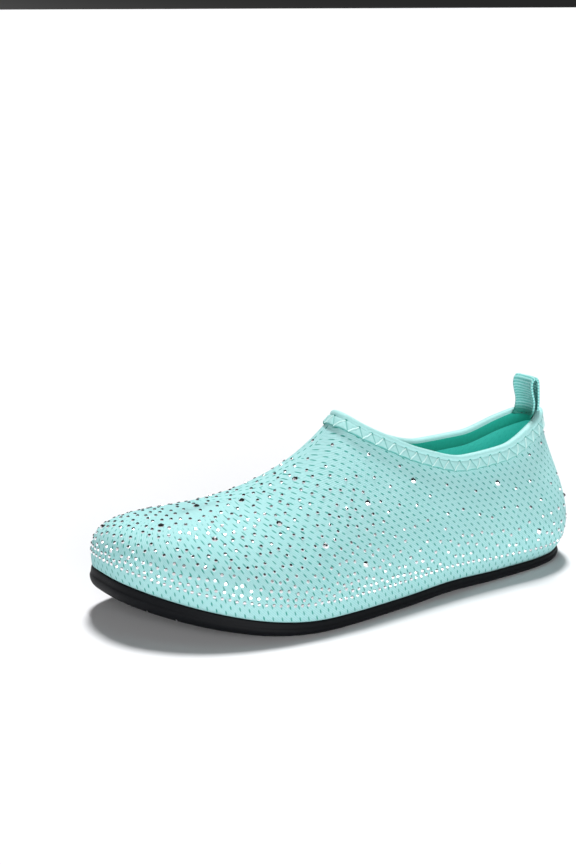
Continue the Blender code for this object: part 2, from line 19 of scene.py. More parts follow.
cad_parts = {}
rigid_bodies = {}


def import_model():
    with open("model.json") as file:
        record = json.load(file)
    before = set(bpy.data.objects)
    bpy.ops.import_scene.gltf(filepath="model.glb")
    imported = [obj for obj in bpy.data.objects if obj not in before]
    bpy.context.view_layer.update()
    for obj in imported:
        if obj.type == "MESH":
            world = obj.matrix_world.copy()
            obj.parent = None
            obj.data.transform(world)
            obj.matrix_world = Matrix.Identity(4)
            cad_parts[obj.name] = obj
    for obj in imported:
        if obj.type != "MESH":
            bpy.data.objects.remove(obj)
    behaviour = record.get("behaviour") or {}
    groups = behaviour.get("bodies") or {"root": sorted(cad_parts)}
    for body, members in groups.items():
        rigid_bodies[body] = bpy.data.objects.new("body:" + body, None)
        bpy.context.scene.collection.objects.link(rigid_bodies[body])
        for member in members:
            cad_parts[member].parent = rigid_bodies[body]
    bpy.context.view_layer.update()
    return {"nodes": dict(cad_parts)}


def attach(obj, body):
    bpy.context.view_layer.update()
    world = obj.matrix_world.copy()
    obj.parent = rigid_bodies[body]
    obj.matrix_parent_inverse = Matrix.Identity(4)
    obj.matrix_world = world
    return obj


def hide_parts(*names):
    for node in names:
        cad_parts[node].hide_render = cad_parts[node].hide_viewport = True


MM = 0.001
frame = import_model()
print("solid parts:", sorted(frame["nodes"]))

# %% [markdown]
# ## Where the camera stands
#
# The photograph was taken from the toe's outer side, a little above the collar. The camera sits
# on a sphere round the shoe, and then turns a little away from the middle, which puts the shoe
# in the lower part of a tall picture.

# %% Camera
CAMERA_CENTRE = Vector((0.00145, -0.002, 0.035))
CAMERA_DISTANCE = 0.820
CAMERA_PLACE = (55.18, 17.46)  # degrees round and above the shoe
CAMERA_AIM = (57.38, 14.57)
CAMERA_LENS = 69.54
CAMERA_SENSOR = 36.0


def view_axes(azimuth, elevation):
    """Right, up and backward directions of a camera that looks from there."""
    a, e = math.radians(azimuth), math.radians(elevation)
    back = Vector((math.sin(a) * math.cos(e), -math.cos(a) * math.cos(e), math.sin(e)))
    right = Vector((math.cos(a), math.sin(a), 0.0))
    return right, back.cross(right), back


def put(name, data):
    """A new object in the scene."""
    obj = bpy.data.objects.new(name, data)
    bpy.context.scene.collection.objects.link(obj)
    return obj


camera = put("camera", bpy.data.cameras.new("camera"))
camera.data.lens = CAMERA_LENS
camera.data.sensor_width = CAMERA_SENSOR
eye = CAMERA_CENTRE + view_axes(*CAMERA_PLACE)[2] * CAMERA_DISTANCE
camera.matrix_world = Matrix.Translation(eye) @ Matrix(view_axes(*CAMERA_AIM)).transposed().to_4x4()
bpy.context.scene.camera = camera
print("camera stands at", [round(value, 3) for value in eye])

# %% [markdown]
# ## Materials from real ones
#
# Every finish starts from what the thing is made of. Colours are written as on a screen and
# turned into linear light by one function, and one small function adds a node, sets it up and
# links what goes into it.

# %% Colour and node helpers
def linear(code):
    """Linear red, green, blue and alpha of a screen colour such as #A5E0DC."""
    parts = [int(code[k:k + 2], 16) / 255.0 for k in (1, 3, 5)]
    return (*[c / 12.92 if c <= 0.04045 else ((c + 0.055) / 1.055) ** 2.4 for c in parts], 1.0)


def add(material, kind, inputs=None, **settings):
    """One node with its settings; an input is a value or the socket that feeds it."""
    node = material.node_tree.nodes.new(kind)
    for name, value in settings.items():
        setattr(node, name, value)
    for name, value in (inputs or {}).items():
        if isinstance(value, bpy.types.NodeSocket):
            material.node_tree.links.new(value, node.inputs[name])
        else:
            node.inputs[name].default_value = value
    return node


def new_material(name, **values):
    """A Principled material; values name its sockets with underscores for spaces."""
    material = bpy.data.materials.new(name)
    material.use_nodes = True
    shader = material.node_tree.nodes["Principled BSDF"]
    for name, value in values.items():
        shader.inputs[name.replace("_", " ")].default_value = value
    return material, shader


def feed(material, shader, **sockets):
    """Link sockets into a shader, under names as in new_material."""
    for name, socket in sockets.items():
        material.node_tree.links.new(socket, shader.inputs[name.replace("_", " ")])


# %% [markdown]
# ## The foot's plan and heights
#
# The sole's outline is a closed smooth curve through a few measured points. A station is the
# distance from the back of the heel, and a side offset is positive towards the little toe.
# Everything else, from the side band to the rows of stones, follows this one outline.

# %% Outline of the sole
BODY_CENTRE_STATION = 123.0
BODY_CENTRE_SIDE = -1.45
SOLE_LENGTH = 250.0
PIECE_GAP = 0.3
OUTER_EDGE = (  # station, side offset
    (0.0, 0.0), (4.0, 16.5), (14.0, 26.8), (32.0, 32.8), (60.0, 36.2), (90.0, 39.6),
    (120.0, 43.5), (150.0, 47.8), (178.0, 49.2), (200.0, 44.5), (216.0, 35.8),
    (230.0, 24.1), (241.0, 10.0), (248.0, -5.0), (SOLE_LENGTH, -20.0),
)
INNER_EDGE = (  # station, side offset
    (248.6, -36.0), (240.4, -46.8), (223.5, -52.0), (200.0, -51.0), (178.0, -45.9),
    (155.0, -37.3), (130.0, -29.4), (100.0, -26.2), (70.0, -28.5), (45.0, -31.2),
    (24.0, -30.6), (8.0, -22.5),
)
EDGE_STEPS = 24


def place(points):
    """World positions, in metres, of points given as station, side and height."""
    points = np.asarray(points, float)
    moved = (points[..., 1] - BODY_CENTRE_SIDE, BODY_CENTRE_STATION - points[..., 0], points[..., 2])
    return np.stack(moved, axis=-1) * MM


def column(table, index):
    """One column of a table of rows."""
    return [row[index] for row in table]


def smooth_table(value, stations, values):
    """Read a table along a smooth curve that never overshoots its rows."""
    x = np.asarray(stations, float)
    y = np.asarray(values, float)
    step = np.diff(x)
    slope = np.diff(y) / step
    tangent = np.concatenate(([slope[0]], np.zeros(len(x) - 2), [slope[-1]]))
    for i in range(1, len(x) - 1):
        if slope[i - 1] * slope[i] > 0.0:
            before = 2.0 * step[i] + step[i - 1]
            after = step[i] + 2.0 * step[i - 1]
            tangent[i] = (before + after) / (before / slope[i - 1] + after / slope[i])
    at = np.clip(np.asarray(value, float), x[0], x[-1])
    i = np.clip(np.searchsorted(x, at, side="right") - 1, 0, len(x) - 2)
    t = (at - x[i]) / step[i]
    rise = y[i] * (1 + 2 * t) * (1 - t) ** 2 + y[i + 1] * (3 - 2 * t) * t**2
    return rise + step[i] * t * (1 - t) * (tangent[i] * (1 - t) - tangent[i + 1] * t)


def read(table, at, index=1):
    """Read one column of a table along a smooth curve over its first column."""
    return smooth_table(at, column(table, 0), column(table, index))


def edge_curve():
    """Closed smooth curve through the outline, as fine points, and the toe tip's index."""
    points = np.array(OUTER_EDGE + INNER_EDGE)
    count = len(points)
    at = np.arange(count * EDGE_STEPS) / EDGE_STEPS
    i = at.astype(int)
    t = (at - i)[:, None]
    a, b, c, d = (points[(i + shift) % count] for shift in (-1, 0, 1, 2))
    curve = b + 0.5 * (c - a) * t
    curve += (a - 2.5 * b + 2 * c - 0.5 * d) * t**2 + 0.5 * (3 * b - a - 3 * c + d) * t**3
    return curve, (len(OUTER_EDGE) - 1) * EDGE_STEPS


def along(points):
    """Distance from the start of a polyline to each of its points."""
    return np.concatenate(([0.0], np.cumsum(np.linalg.norm(np.diff(points, axis=0), axis=1))))


def spaced(points, shares):
    """Points at the given shares of the length of a polyline."""
    length = along(points)
    return np.column_stack([np.interp(shares * length[-1], length, values) for values in points.T])


def edge_sides(inset, shares):
    """Outer and inner side of the outline, both from heel to toe, moved in by inset."""
    curve, toe = edge_curve()
    ahead = np.roll(curve, -1, axis=0) - np.roll(curve, 1, axis=0)
    ahead /= np.linalg.norm(ahead, axis=1)[:, None]
    moved = curve - np.column_stack((-ahead[:, 1], ahead[:, 0])) * inset
    outer = spaced(moved[: toe + 1], shares)
    inner = spaced(np.vstack((moved[toe:], moved[:1]))[::-1], shares)
    return outer, inner


def closed_ring(inset, pairs):
    """The outline moved in by inset, as one closed ring of points."""
    outer, inner = edge_sides(inset, np.linspace(0.0, 1.0, pairs + 1))
    return np.vstack((outer, inner[-2:0:-1]))


print("the outline is", round(along(edge_curve()[0])[-1]), "mm round")

# %% [markdown]
# A shoe lies flat only under the heel and the ball of the foot. The toe springs up, the back of
# the heel is rounded off a little, and the waist between them is lifted by a millimetre. The side
# band of the sole grows taller towards the toe.

# %% Heights of the sole
TOE_SPRING = 13.5
TOE_SPRING_START = 162.0
HEEL_RISE = 2.0
HEEL_RISE_END = 20.0
WAIST_LIFT = 1.0
WAIST_STATIONS = (58.0, 124.0)
BAND_HEIGHT = ((0.0, 4.5), (80.0, 5.3), (170.0, 6.0), (SOLE_LENGTH, 9.5))  # station, height


def underside(station):
    """Height of the underside of the sole above the floor."""
    s = np.asarray(station, float)
    toe = np.clip((s - TOE_SPRING_START) / (SOLE_LENGTH - TOE_SPRING_START), 0.0, 1.0)
    heel = np.clip((HEEL_RISE_END - s) / HEEL_RISE_END, 0.0, 1.0)
    back, front = WAIST_STATIONS
    waist = np.clip((s - back) / (front - back), 0.0, 1.0)
    return TOE_SPRING * toe**2 + HEEL_RISE * heel**2 + WAIST_LIFT * np.sin(math.pi * waist) ** 2


def band_height(station):
    return read(BAND_HEIGHT, station)


print("the toe's tip stands", underside(SOLE_LENGTH), "mm off the floor")

# %% [markdown]
# ## Turning a flat grid into a piece
#
# Cloth starts flat, and so does each piece here: Blender's grid operator makes a flat sheet, and
# each of its corners is then moved to its place on the shoe. The corner also remembers where it
# lay on the flat cloth, in metres, so that a weave keeps its real size on the curved piece.

# %% Sheet and piece helpers
WELD = 0.004  # points nearer than this become one


def sheet(points, flat, **values):
    """A bmesh grid moved onto an array of points, with UVs that hold the flat cloth's places."""
    bm = bmesh.new()
    cloth = bm.loops.layers.uv.new("cloth")
    across, up = points.shape[0] - 1, points.shape[1] - 1
    bmesh.ops.create_grid(bm, x_segments=across, y_segments=up, size=0.5)
    layers = {name: bm.verts.layers.float.new(name) for name in values}
    places = {v: (round((v.co.x + 0.5) * across), round((v.co.y + 0.5) * up)) for v in bm.verts}
    for face in bm.faces:
        for loop in face.loops:
            loop[cloth].uv = flat[places[loop.vert]]
    for vert, spot in places.items():
        vert.co = points[spot]
        for name, layer in layers.items():
            vert[layer] = values[name][spot]
    return bm


def close(bm, fill=False):
    """Sew the edges of a sheet that meet, fill its open ends if asked, turn its faces outwards."""
    bmesh.ops.remove_doubles(bm, verts=bm.verts[:], dist=WELD * MM)
    if fill:
        bmesh.ops.holes_fill(bm, edges=[edge for edge in bm.edges if edge.is_boundary], sides=0)
    bmesh.ops.recalc_face_normals(bm, faces=bm.faces[:])


def to_mesh(name, bm):
    """A new mesh that takes over what a bmesh holds."""
    mesh = bpy.data.meshes.new(name)
    bm.to_mesh(mesh)
    bm.free()
    return mesh


def baked(obj):
    """The finished shape of a draft object as a plain mesh; the draft itself is removed."""
    mesh = bpy.data.meshes.new_from_object(obj.evaluated_get(bpy.context.evaluated_depsgraph_get()))
    bpy.data.objects.remove(obj, do_unlink=True)
    return mesh


def piece(name, bm, materials, replaces=None, smooth=True):
    """A finished object that rides on the shoe, with its finish and what it stands for."""
    mesh = to_mesh(name, bm)
    for material in materials:
        mesh.materials.append(material)
    if smooth:
        mesh.shade_smooth()
    obj = put(name, mesh)
    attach(obj, "root")
    if replaces:
        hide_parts(replaces)
    print(name, "has", len(mesh.polygons), "faces")
    return obj


# %% [markdown]
# ## The knit
#
# The upper is a jacquard knit in aqua polyester: fine diagonal wales, with short slanted floats
# of a darker yarn in regular rows. A float is about 2 mm long and sinks a little into the cloth.
# The pattern is drawn on the flat cloth. The rows of cells are shifted, each cell holds one long
# thin ellipse, and the ellipse is turned by how far the cloth is pulled askew at that spot.

# %% Knit material
KNIT_COLUMN = 4.35
KNIT_ROW = 2.75
ROW_SHIFT = 0.47  # share of a column by which each row is shifted from the one below
FLOAT_HALF = (0.37, 1.05, 1.0)  # half width and half length of a float
FLOAT_EDGE = (1.25, 0.65)  # a float fades out and is whole at these shares of its half size
FLOAT_FAINTEST = 0.78
FLOAT_SINK = 0.09
WALE = 0.92  # about twice the real pitch, which would be finer than a pixel
WALE_LEAN = (0.62, -0.78)
WALE_HEIGHT = 0.05
FUZZ_PER_METRE = 900.0
FUZZ_HEIGHT = 0.10
BROAD_PER_METRE = 28.0


def knit_colours(material, light, shade, dark, floats):
    """Colour and height of the knit, from its flat place and its slant."""
    flat = add(material, "ShaderNodeUVMap", uv_map="cloth").outputs["UV"]
    per_cell = (1 / (KNIT_COLUMN * MM), 1 / (KNIT_ROW * MM), 0.0)
    cells = add(material, "ShaderNodeVectorMath", {0: flat, 1: per_cell}, operation="MULTIPLY").outputs[0]
    row = add(material, "ShaderNodeVectorMath", {0: cells}, operation="FLOOR").outputs[0]
    shift = add(material, "ShaderNodeVectorMath", {0: row, 1: (0.0, ROW_SHIFT, 0.0)},
                operation="DOT_PRODUCT").outputs["Value"]
    shifts = add(material, "ShaderNodeCombineXYZ", {"X": shift}).outputs[0]
    moved = add(material, "ShaderNodeVectorMath", {0: cells, 1: shifts}, operation="ADD").outputs[0]
    cell = add(material, "ShaderNodeVectorMath", {0: moved}, operation="FLOOR").outputs[0]
    within = add(material, "ShaderNodeVectorMath", {0: moved}, operation="FRACTION").outputs[0]
    middle = add(material, "ShaderNodeVectorMath", {0: within, 1: (0.5, 0.5, 0.0)},
                 operation="SUBTRACT").outputs[0]
    local = add(material, "ShaderNodeVectorMath", {0: middle, 1: (KNIT_COLUMN, KNIT_ROW, 0.0)},
                operation="MULTIPLY").outputs[0]
    slant = add(material, "ShaderNodeAttribute", attribute_name="slant").outputs["Fac"]
    clear = add(material, "ShaderNodeAttribute", attribute_name="clear").outputs["Fac"]
    turned = add(material, "ShaderNodeVectorRotate", {"Vector": local, "Angle": slant},
                 rotation_type="Z_AXIS").outputs[0]
    squeezed = add(material, "ShaderNodeVectorMath", {0: turned, 1: FLOAT_HALF},
                   operation="DIVIDE").outputs[0]
    reach = add(material, "ShaderNodeVectorMath", {0: squeezed}, operation="LENGTH").outputs["Value"]
    chance = add(material, "ShaderNodeTexWhiteNoise", {"Vector": cell}).outputs["Value"]
    strength = add(material, "ShaderNodeMapRange", {
        "Value": chance, "To Min": floats * FLOAT_FAINTEST, "To Max": floats,
    }).outputs[0]
    mask = add(material, "ShaderNodeMapRange", {
        "Value": reach, "From Min": FLOAT_EDGE[0], "From Max": FLOAT_EDGE[1],
    }, interpolation_type="SMOOTHSTEP").outputs[0]
    visible = add(material, "ShaderNodeMath", {0: clear, 1: strength}, operation="MULTIPLY").outputs[0]
    float_mask = add(material, "ShaderNodeMath", {0: mask, 1: visible}, operation="MULTIPLY").outputs[0]
    wave_turn = [math.tau * part / (WALE * MM) for part in WALE_LEAN]
    wales = add(material, "ShaderNodeVectorMath", {0: flat, 1: (*wave_turn, 0.0)},
                operation="DOT_PRODUCT").outputs["Value"]
    ridge = add(material, "ShaderNodeMath", {0: wales}, operation="SINE").outputs[0]
    fuzz = add(material, "ShaderNodeTexNoise", {
        "Vector": flat, "Scale": FUZZ_PER_METRE, "Detail": 2.0,
    }).outputs["Fac"]
    broad = add(material, "ShaderNodeTexNoise", {
        "Vector": flat, "Scale": BROAD_PER_METRE, "Detail": 2.0,
    }).outputs["Fac"]
    shaded = add(material, "ShaderNodeMath", {0: ridge, 1: 0.20, 2: 0.05},
                 operation="MULTIPLY_ADD").outputs[0]
    for noise, share in ((fuzz, 0.55), (broad, 0.35)):
        shaded = add(material, "ShaderNodeMath", {0: noise, 1: share, 2: shaded},
                     operation="MULTIPLY_ADD").outputs[0]
    cloth = add(material, "ShaderNodeMix", {0: shaded, 6: light, 7: shade}, data_type="RGBA").outputs[2]
    colour = add(material, "ShaderNodeMix", {0: float_mask, 6: cloth, 7: dark}, data_type="RGBA").outputs[2]
    height = add(material, "ShaderNodeMath", {0: float_mask, 1: -FLOAT_SINK}, operation="MULTIPLY").outputs[0]
    for wave, tall in ((ridge, WALE_HEIGHT), (fuzz, FUZZ_HEIGHT)):
        height = add(material, "ShaderNodeMath", {0: wave, 1: tall, 2: height},
                     operation="MULTIPLY_ADD").outputs[0]
    bump = add(material, "ShaderNodeBump", {"Height": height, "Distance": MM, "Strength": 0.9}).outputs[0]
    return colour, bump


# Dull polyester yarn with a breath of sheen, so that the knit looks soft and dry.
knit, shader = new_material(
    "aqua_jacquard_knit", Roughness=0.88, Sheen_Weight=0.08, Sheen_Roughness=0.4, IOR=1.4,
)
colour, bump = knit_colours(knit, linear("#BEE7E7"), linear("#8ACFCF"), linear("#009488"), 0.95)
feed(knit, shader, Base_Color=colour, Normal=bump)

# The back of the knit shows the darker yarn. The cloth is thin, and a weak painted glow of its own
# colour stands in for the daylight that comes through it.
lining, shader = new_material(
    "teal_knit_back", Roughness=0.9, Sheen_Weight=0.15, IOR=1.46,
    Emission_Color=linear("#2FA39B"), Emission_Strength=0.4,
)
# Painted light: the emission above lifts the shaded inside of the shoe.
colour, bump = knit_colours(lining, linear("#62E6D8"), linear("#4CD2C4"), linear("#3CBFB1"), 0.35)
feed(lining, shader, Base_Color=colour, Normal=bump)
print("knit cell", KNIT_COLUMN, "by", KNIT_ROW, "mm")

# %% [markdown]
# ## The upper
#
# A last is turned by ribs: each rib leaves the sole's edge with a little flare, rises, and ends
# leaning in at the collar or level on the ridge over the toes. A Bezier curve has just the four
# handles that such a rib needs. The flat sheet is laid over the ribs and gets a wall of 1.8 mm.

# %% Shape of the upper
WALL = 1.8
UPPER_INSET = 1.3
UPPER_PAIRS = 180
UPPER_ROWS = 48
COLLAR_SHARE = 20 / 36
COLLAR_BACK = 8.0
THROAT = 132.0
TOE_CREST_END = 212.0
CREST_SPREAD = 1.5
COLLAR_HALF_WIDTH = 19.1
COLLAR_ROUNDNESS = 0.80
SIDE_TOP_HANDLE = 0.35
HANDLE_EASING = 0.0045
COLLAR_DROP = 1.3
COLLAR_HEIGHT = (  # station, height
    (7.0, 76.5), (22.0, 70.8), (44.5, 63.7), (69.5, 62.8), (94.5, 69.4),
    (114.5, 78.6), (125.8, 84.8), (132.0, 89.4),
)
CREST = (  # station, height, side offset
    (132.0, 89.4, 0.0), (142.0, 77.7, -0.6), (155.0, 67.3, -1.1), (172.0, 57.6, -2.8),
    (190.0, 52.0, -6.0), (212.0, 50.0, -9.4),
)
RIB_FEET = (  # share of the ribs, share of the way from heel to toe where that rib starts
    (0.0, 0.0), (0.28, 0.275), (0.45, 0.475), (COLLAR_SHARE, 0.625), (0.78, 0.83), (1.0, 1.0),
)
RIB_SHAPE = (  # share of the ribs, outward flare, seam handle, top handle
    (0.0, 23.0, 0.30, 0.50), (0.12, 18.5, 0.30, 0.50), (0.35, 2.8, 0.38, 0.50),
    (COLLAR_SHARE, 1.2, 0.34, 0.31), (0.78, 5.6, 0.71, 0.74), (1.0, 5.8, 0.83, 0.88),
)
RIB_LEAN = (  # share of the ribs, degrees that the top leans in
    (0.0, 18.0), (0.12, 13.0), (0.35, 20.0), (COLLAR_SHARE, 16.0), (1.0, 16.0),
)


def collar_centre():
    return 0.5 * (COLLAR_BACK + THROAT), 0.5 * (THROAT - COLLAR_BACK)


def rib_tops(share, side):
    """Where each rib ends: round the collar first, then along the crest to the toe."""
    centre, reach = collar_centre()
    on_collar = share <= COLLAR_SHARE + 1e-9
    turn = math.pi * np.clip(share / COLLAR_SHARE, 0.0, 1.0)
    ahead = np.clip((share - COLLAR_SHARE) / (1.0 - COLLAR_SHARE), 0.0, 1.0)
    crest = THROAT + (TOE_CREST_END - THROAT) * (1.0 - (1.0 - ahead) ** CREST_SPREAD)
    station = np.where(on_collar, centre - reach * np.cos(turn), crest)
    half_width = COLLAR_HALF_WIDTH * np.abs(np.sin(turn)) ** COLLAR_ROUNDNESS
    half_width = np.where(on_collar, half_width, 0.0)
    rim = read(COLLAR_HEIGHT, station) - COLLAR_DROP
    ridge = read(CREST, station) - COLLAR_DROP * (1.0 - ahead) ** 4
    ridge_side = read(CREST, station, 2)
    offset = np.where(on_collar, side * half_width, ridge_side)
    height = np.where(on_collar, rim, ridge)
    across = np.where(turn > 0.5 * math.pi, 1.0 - (half_width / COLLAR_HALF_WIDTH) ** 1.5, 0.0)
    return np.column_stack((station, offset, height)), np.where(on_collar, across, 1.0)


def crest_slope(station):
    """Fall of the crest for each step towards the toe."""
    behind = np.clip(station, THROAT, TOE_CREST_END - 1.0)
    return read(CREST, behind) - read(CREST, behind + 1.0)


def upper_ribs(pairs, rows):
    """Outer face of the upper: a Bezier rib from the seam to the top for each step round."""
    share = np.arange(pairs + 1) / pairs
    flare, seam_handle, top_handle = (read(RIB_SHAPE, share, k) for k in (1, 2, 3))
    lean = np.tan(np.radians(read(RIB_LEAN, share)))
    feet = read(RIB_FEET, share)
    v = np.linspace(0.0, 1.0, rows + 1)[None, :, None]
    halves = []
    for side, foot in zip((1.0, -1.0), edge_sides(UPPER_INSET, feet)):
        seam = underside(foot[:, 0]) + band_height(foot[:, 0]) + PIECE_GAP
        start = np.column_stack((foot, seam))
        end, level = rib_tops(share, side)
        way = end[:, :2] - start[:, :2]
        reach = np.linalg.norm(way, axis=1)
        inward = way / reach[:, None]
        tall = end[:, 2] - start[:, 2]
        low = start.copy()
        low[:, :2] -= inward * flare[:, None]
        low[:, 2] += tall * seam_handle
        steep = (1.0 - level) * tall * SIDE_TOP_HANDLE
        forward = np.clip(-inward[:, 0], 0.0, 1.0) * crest_slope(end[:, 0])
        high = end.copy()
        high[:, :2] -= inward * (reach * top_handle * level + steep * lean)[:, None]
        high[:, 2] -= steep + reach * top_handle * level * forward
        halves.append(np.stack((start, low, high, end), axis=1))
    ribs = np.concatenate((halves[0], halves[1][-2:0:-1]))
    for _ in range(round(HANDLE_EASING * pairs**2)):
        ribs[:, 1:3] = 0.5 * ribs[:, 1:3] + 0.25 * (np.roll(ribs, 1, 0) + np.roll(ribs, -1, 0))[:, 1:3]
    start, low, high, end = (ribs[:, k, None] for k in range(4))
    return (1 - v) ** 3 * start + 3 * (1 - v) ** 2 * v * low + 3 * (1 - v) * v**2 * high + v**3 * end


ribs = upper_ribs(UPPER_PAIRS, UPPER_ROWS)
ribs = np.concatenate((ribs, ribs[:1]))
print("ribs:", ribs.shape[0], "with", ribs.shape[1], "points each")

# %% [markdown]
# The knit doesn't run along the ribs, which sweep back to the collar. Its flat place is worked
# out for each point: how far round the foot it lies, corrected so that the columns of the cloth
# stand upright on the sides, and how far it is up from the sole. The floats stand nearly upright
# by the sole and lean more and more towards the toe higher up, where the cloth is stretched.

# %% Flat places and slant of the knit
SHEAR = ((0.0, 0.0), (0.12, 1.0), (0.78, 1.0), (0.97, 0.0), (1.0, 0.0))  # share, how upright
CROWDED = (0.35, 0.8)  # shares of their full width at which columns vanish and are whole
SLANT_LOW = 12.0
SLANT_HIGH = 50.0
SLANT_FROM = 3.0
SLANT_TO = 34.0
HEEL_SLANT = ((0.0, 0.35), (0.16, 0.55), (0.34, 1.0), (1.0, 1.0))  # share, part of the slant


def knit_places(ribs):
    """Flat cloth place in mm, slant in radians and clearness of each point on the ribs."""
    count = len(ribs) - 1
    round_foot = along(ribs[:, 0])
    share = 1.0 - np.abs(np.arange(count + 1) / count * 2.0 - 1.0)
    side = np.where(np.arange(count + 1) * 2 <= count, 1.0, -1.0)
    upright = np.clip(read(SHEAR, share), 0.0, 1.0)
    step = np.diff(ribs, axis=1)
    step[..., 0] *= np.sqrt(1.0 - upright**2)[:, None]
    walked = np.cumsum(np.linalg.norm(step, axis=2), axis=1)
    up = np.concatenate((np.zeros((count + 1, 1)), walked), axis=1)
    lag = (ribs[:, :1, 0] - ribs[:, :, 0]) * (upright * side)[:, None]
    columns = round(round_foot[-1] / KNIT_COLUMN)
    across = (round_foot[:, None] - lag) * columns * KNIT_COLUMN / round_foot[-1]
    rise = np.clip((up - SLANT_FROM) / (SLANT_TO - SLANT_FROM), 0.0, 1.0)
    part = read(HEEL_SLANT, share)
    slant = SLANT_LOW + (SLANT_HIGH - SLANT_LOW) * rise * rise * (3 - 2 * rise) * part[:, None]
    flat_apart = np.hypot(np.diff(across, axis=0), np.diff(up, axis=0))
    width = np.linalg.norm(np.diff(ribs, axis=0), axis=2) / np.maximum(flat_apart, 1e-6)
    width = 0.5 * (np.concatenate((width[-1:], width)) + np.concatenate((width, width[:1])))
    clear = np.clip((width - CROWDED[0]) / (CROWDED[1] - CROWDED[0]), 0.0, 1.0)
    return np.stack((across, up), axis=-1), np.radians(slant), clear


knit_flat, knit_slant, knit_clear = knit_places(ribs)
print("the cloth is", *np.round(knit_flat.max(axis=(0, 1))), "mm round and tall")

# %% [markdown]
# The sheet now gets its points, its flat places and the two values that the knit's finish reads.
# A Solidify modifier gives it a real wall, inwards, with the teal back of the knit on the inside.

# %% Upper
bm = sheet(place(ribs), knit_flat * MM, slant=knit_slant, clear=knit_clear)
close(bm)
if sum(face.normal.z * face.calc_area() for face in bm.faces) < 0.0:
    bmesh.ops.reverse_faces(bm, faces=bm.faces[:])
upper_faces = BVHTree.FromBMesh(bm)
upper = piece("knit_upper", bm, (knit, lining), replaces="upper")
wall = upper.modifiers.new("wall", "SOLIDIFY")
wall.thickness = WALL * MM
wall.offset = -1.0
wall.use_even_offset = True
wall.material_offset = 1
wall.material_offset_rim = 1

# %% [markdown]
# ## The collar tape
#
# A soft tape of smooth stretch cloth is folded over the raw edge of the knit and sewn down with
# a zigzag stitch. It shows a fat roll at the top, a groove where the needle went in, and a
# flatter band that the zigzag pulls into small pillows. The tape is a closed section that is
# carried round the collar, and the pillows are pushed into its face.

# %% Tape section
STITCH = 6.5
TAPE_STATIONS = 640
TAPE_STEP = 0.7
GROOVE_DEPTH = 2.0
TAPE_DEPTH = 7.3
PILLOW = 0.32
PILLOW_EASE = 1.1  # distance from a leg of the zigzag at which a pillow is full
SCALLOP = 0.3
HEM_SINK = 0.25
PINCH = 0.25
PINCH_SHARE = 0.3
LEG_SLANT = 0.55  # a leg leans, so its distance is this share of the distance down the band
BAND_EASE = 8.0  # the pillows flatten out in this part of the band at each of its edges
BAND_ROWS = 12
BAND_OFFSET = 1.2
WALK = np.arange(0.0, 8.3, 0.75)  # depths at which the knit's face is looked up
NORMAL_ROUNDS = 6
ROLL = (  # depth below the edge of the knit, offset from its face, from the groove over the top
    (2.0, 0.98), (1.75, 1.3), (1.2, 1.55), (0.6, 1.66), (0.0, 1.6), (-0.5, 1.38), (-0.95, 0.92),
    (-1.25, 0.25), (-1.38, -0.5), (-1.34, -1.25), (-1.1, -2.0), (-0.6, -2.6),
)
INSIDE = (  # depth, offset: down the inner leaf and back up behind it
    (0.0, -3.0), (0.8, -3.18), (2.0, -3.15), (4.5, -3.0), (6.3, -2.95), (6.6, -2.8), (6.6, -2.45),
    (4.5, -2.5), (2.0, -2.55), (-0.4, -2.5), (-0.6, -1.4), (-0.4, 0.7), (2.0, 0.8), (4.6, 0.8),
    (7.0, 0.65),
)


def collar_edge(count):
    """Top edge of the knit as a closed loop of points, from the back round the outer side."""
    centre, reach = collar_centre()
    turn = np.arange(count) * math.tau / count
    station = centre - reach * np.cos(turn)
    side = COLLAR_HALF_WIDTH * np.sign(np.sin(turn)) * np.abs(np.sin(turn)) ** COLLAR_ROUNDNESS
    height = read(COLLAR_HEIGHT, station) - COLLAR_DROP
    loop = np.column_stack((station, side, height))
    return spaced(np.vstack((loop, loop[:1])), np.arange(count) / count)


def walk_down(start, tangent, depths):
    """Points and normals on the knit at each depth below the collar's edge."""
    point = start.copy()
    normal = upper_faces.find_nearest(start)[1]
    walked, found = 0.0, [(point.copy(), normal.copy())]
    for depth in depths:
        while walked < depth - 1e-6:
            step = min(TAPE_STEP, depth - walked)
            down = normal.cross(tangent).normalized()
            if down.z > 0.0:
                down.negate()
            point, normal = upper_faces.find_nearest(point + down * step * MM)[:2]
            walked += step
        found.append((point.copy(), normal.copy()))
    return found


edge = place(collar_edge(TAPE_STATIONS))
edge_length = along(np.vstack((edge, edge[:1]))) / MM
stitches = round(edge_length[-1] / STITCH)
stitch = edge_length[-1] / stitches
walks = []
for i, start in enumerate(edge):
    tangent = Vector(edge[(i + 1) % len(edge)] - edge[i - 1]).normalized()
    walks.append(walk_down(Vector(start), tangent, WALK[1:]))
walk_points = np.array([[point for point, _ in walk] for walk in walks])
walk_normals = np.array([[normal for _, normal in walk] for walk in walks])
for _ in range(NORMAL_ROUNDS):
    beside = np.roll(walk_normals, 1, 0) + np.roll(walk_normals, -1, 0)
    walk_normals = 0.5 * walk_normals + 0.25 * beside
walk_normals /= np.linalg.norm(walk_normals, axis=-1)[..., None]
print("collar", round(edge_length[-1]), "mm round with", stitches, "stitches")

# %% [markdown]
# Each section of the tape is laid out from the walk down the knit: the quilted band, the roll
# over the edge, and the inner leaf. The band stands up between the legs of the zigzag and is
# pinched where the needle went in.

# %% Tape
def on_walk(i, depth, offset):
    """World point at a depth below the collar's edge and an offset from the knit's face."""
    points, normals = walk_points[i], walk_normals[i]
    if depth <= 0.0:
        up = points[0] - points[1]
        return points[0] + (up / np.linalg.norm(up) * -depth + normals[0] * offset) * MM
    at = min(depth / WALK[1], len(WALK) - 1.001)
    k, t = int(at), at - int(at)
    normal = normals[k] * (1 - t) + normals[k + 1] * t
    return points[k] * (1 - t) + points[k + 1] * t + normal * offset * MM


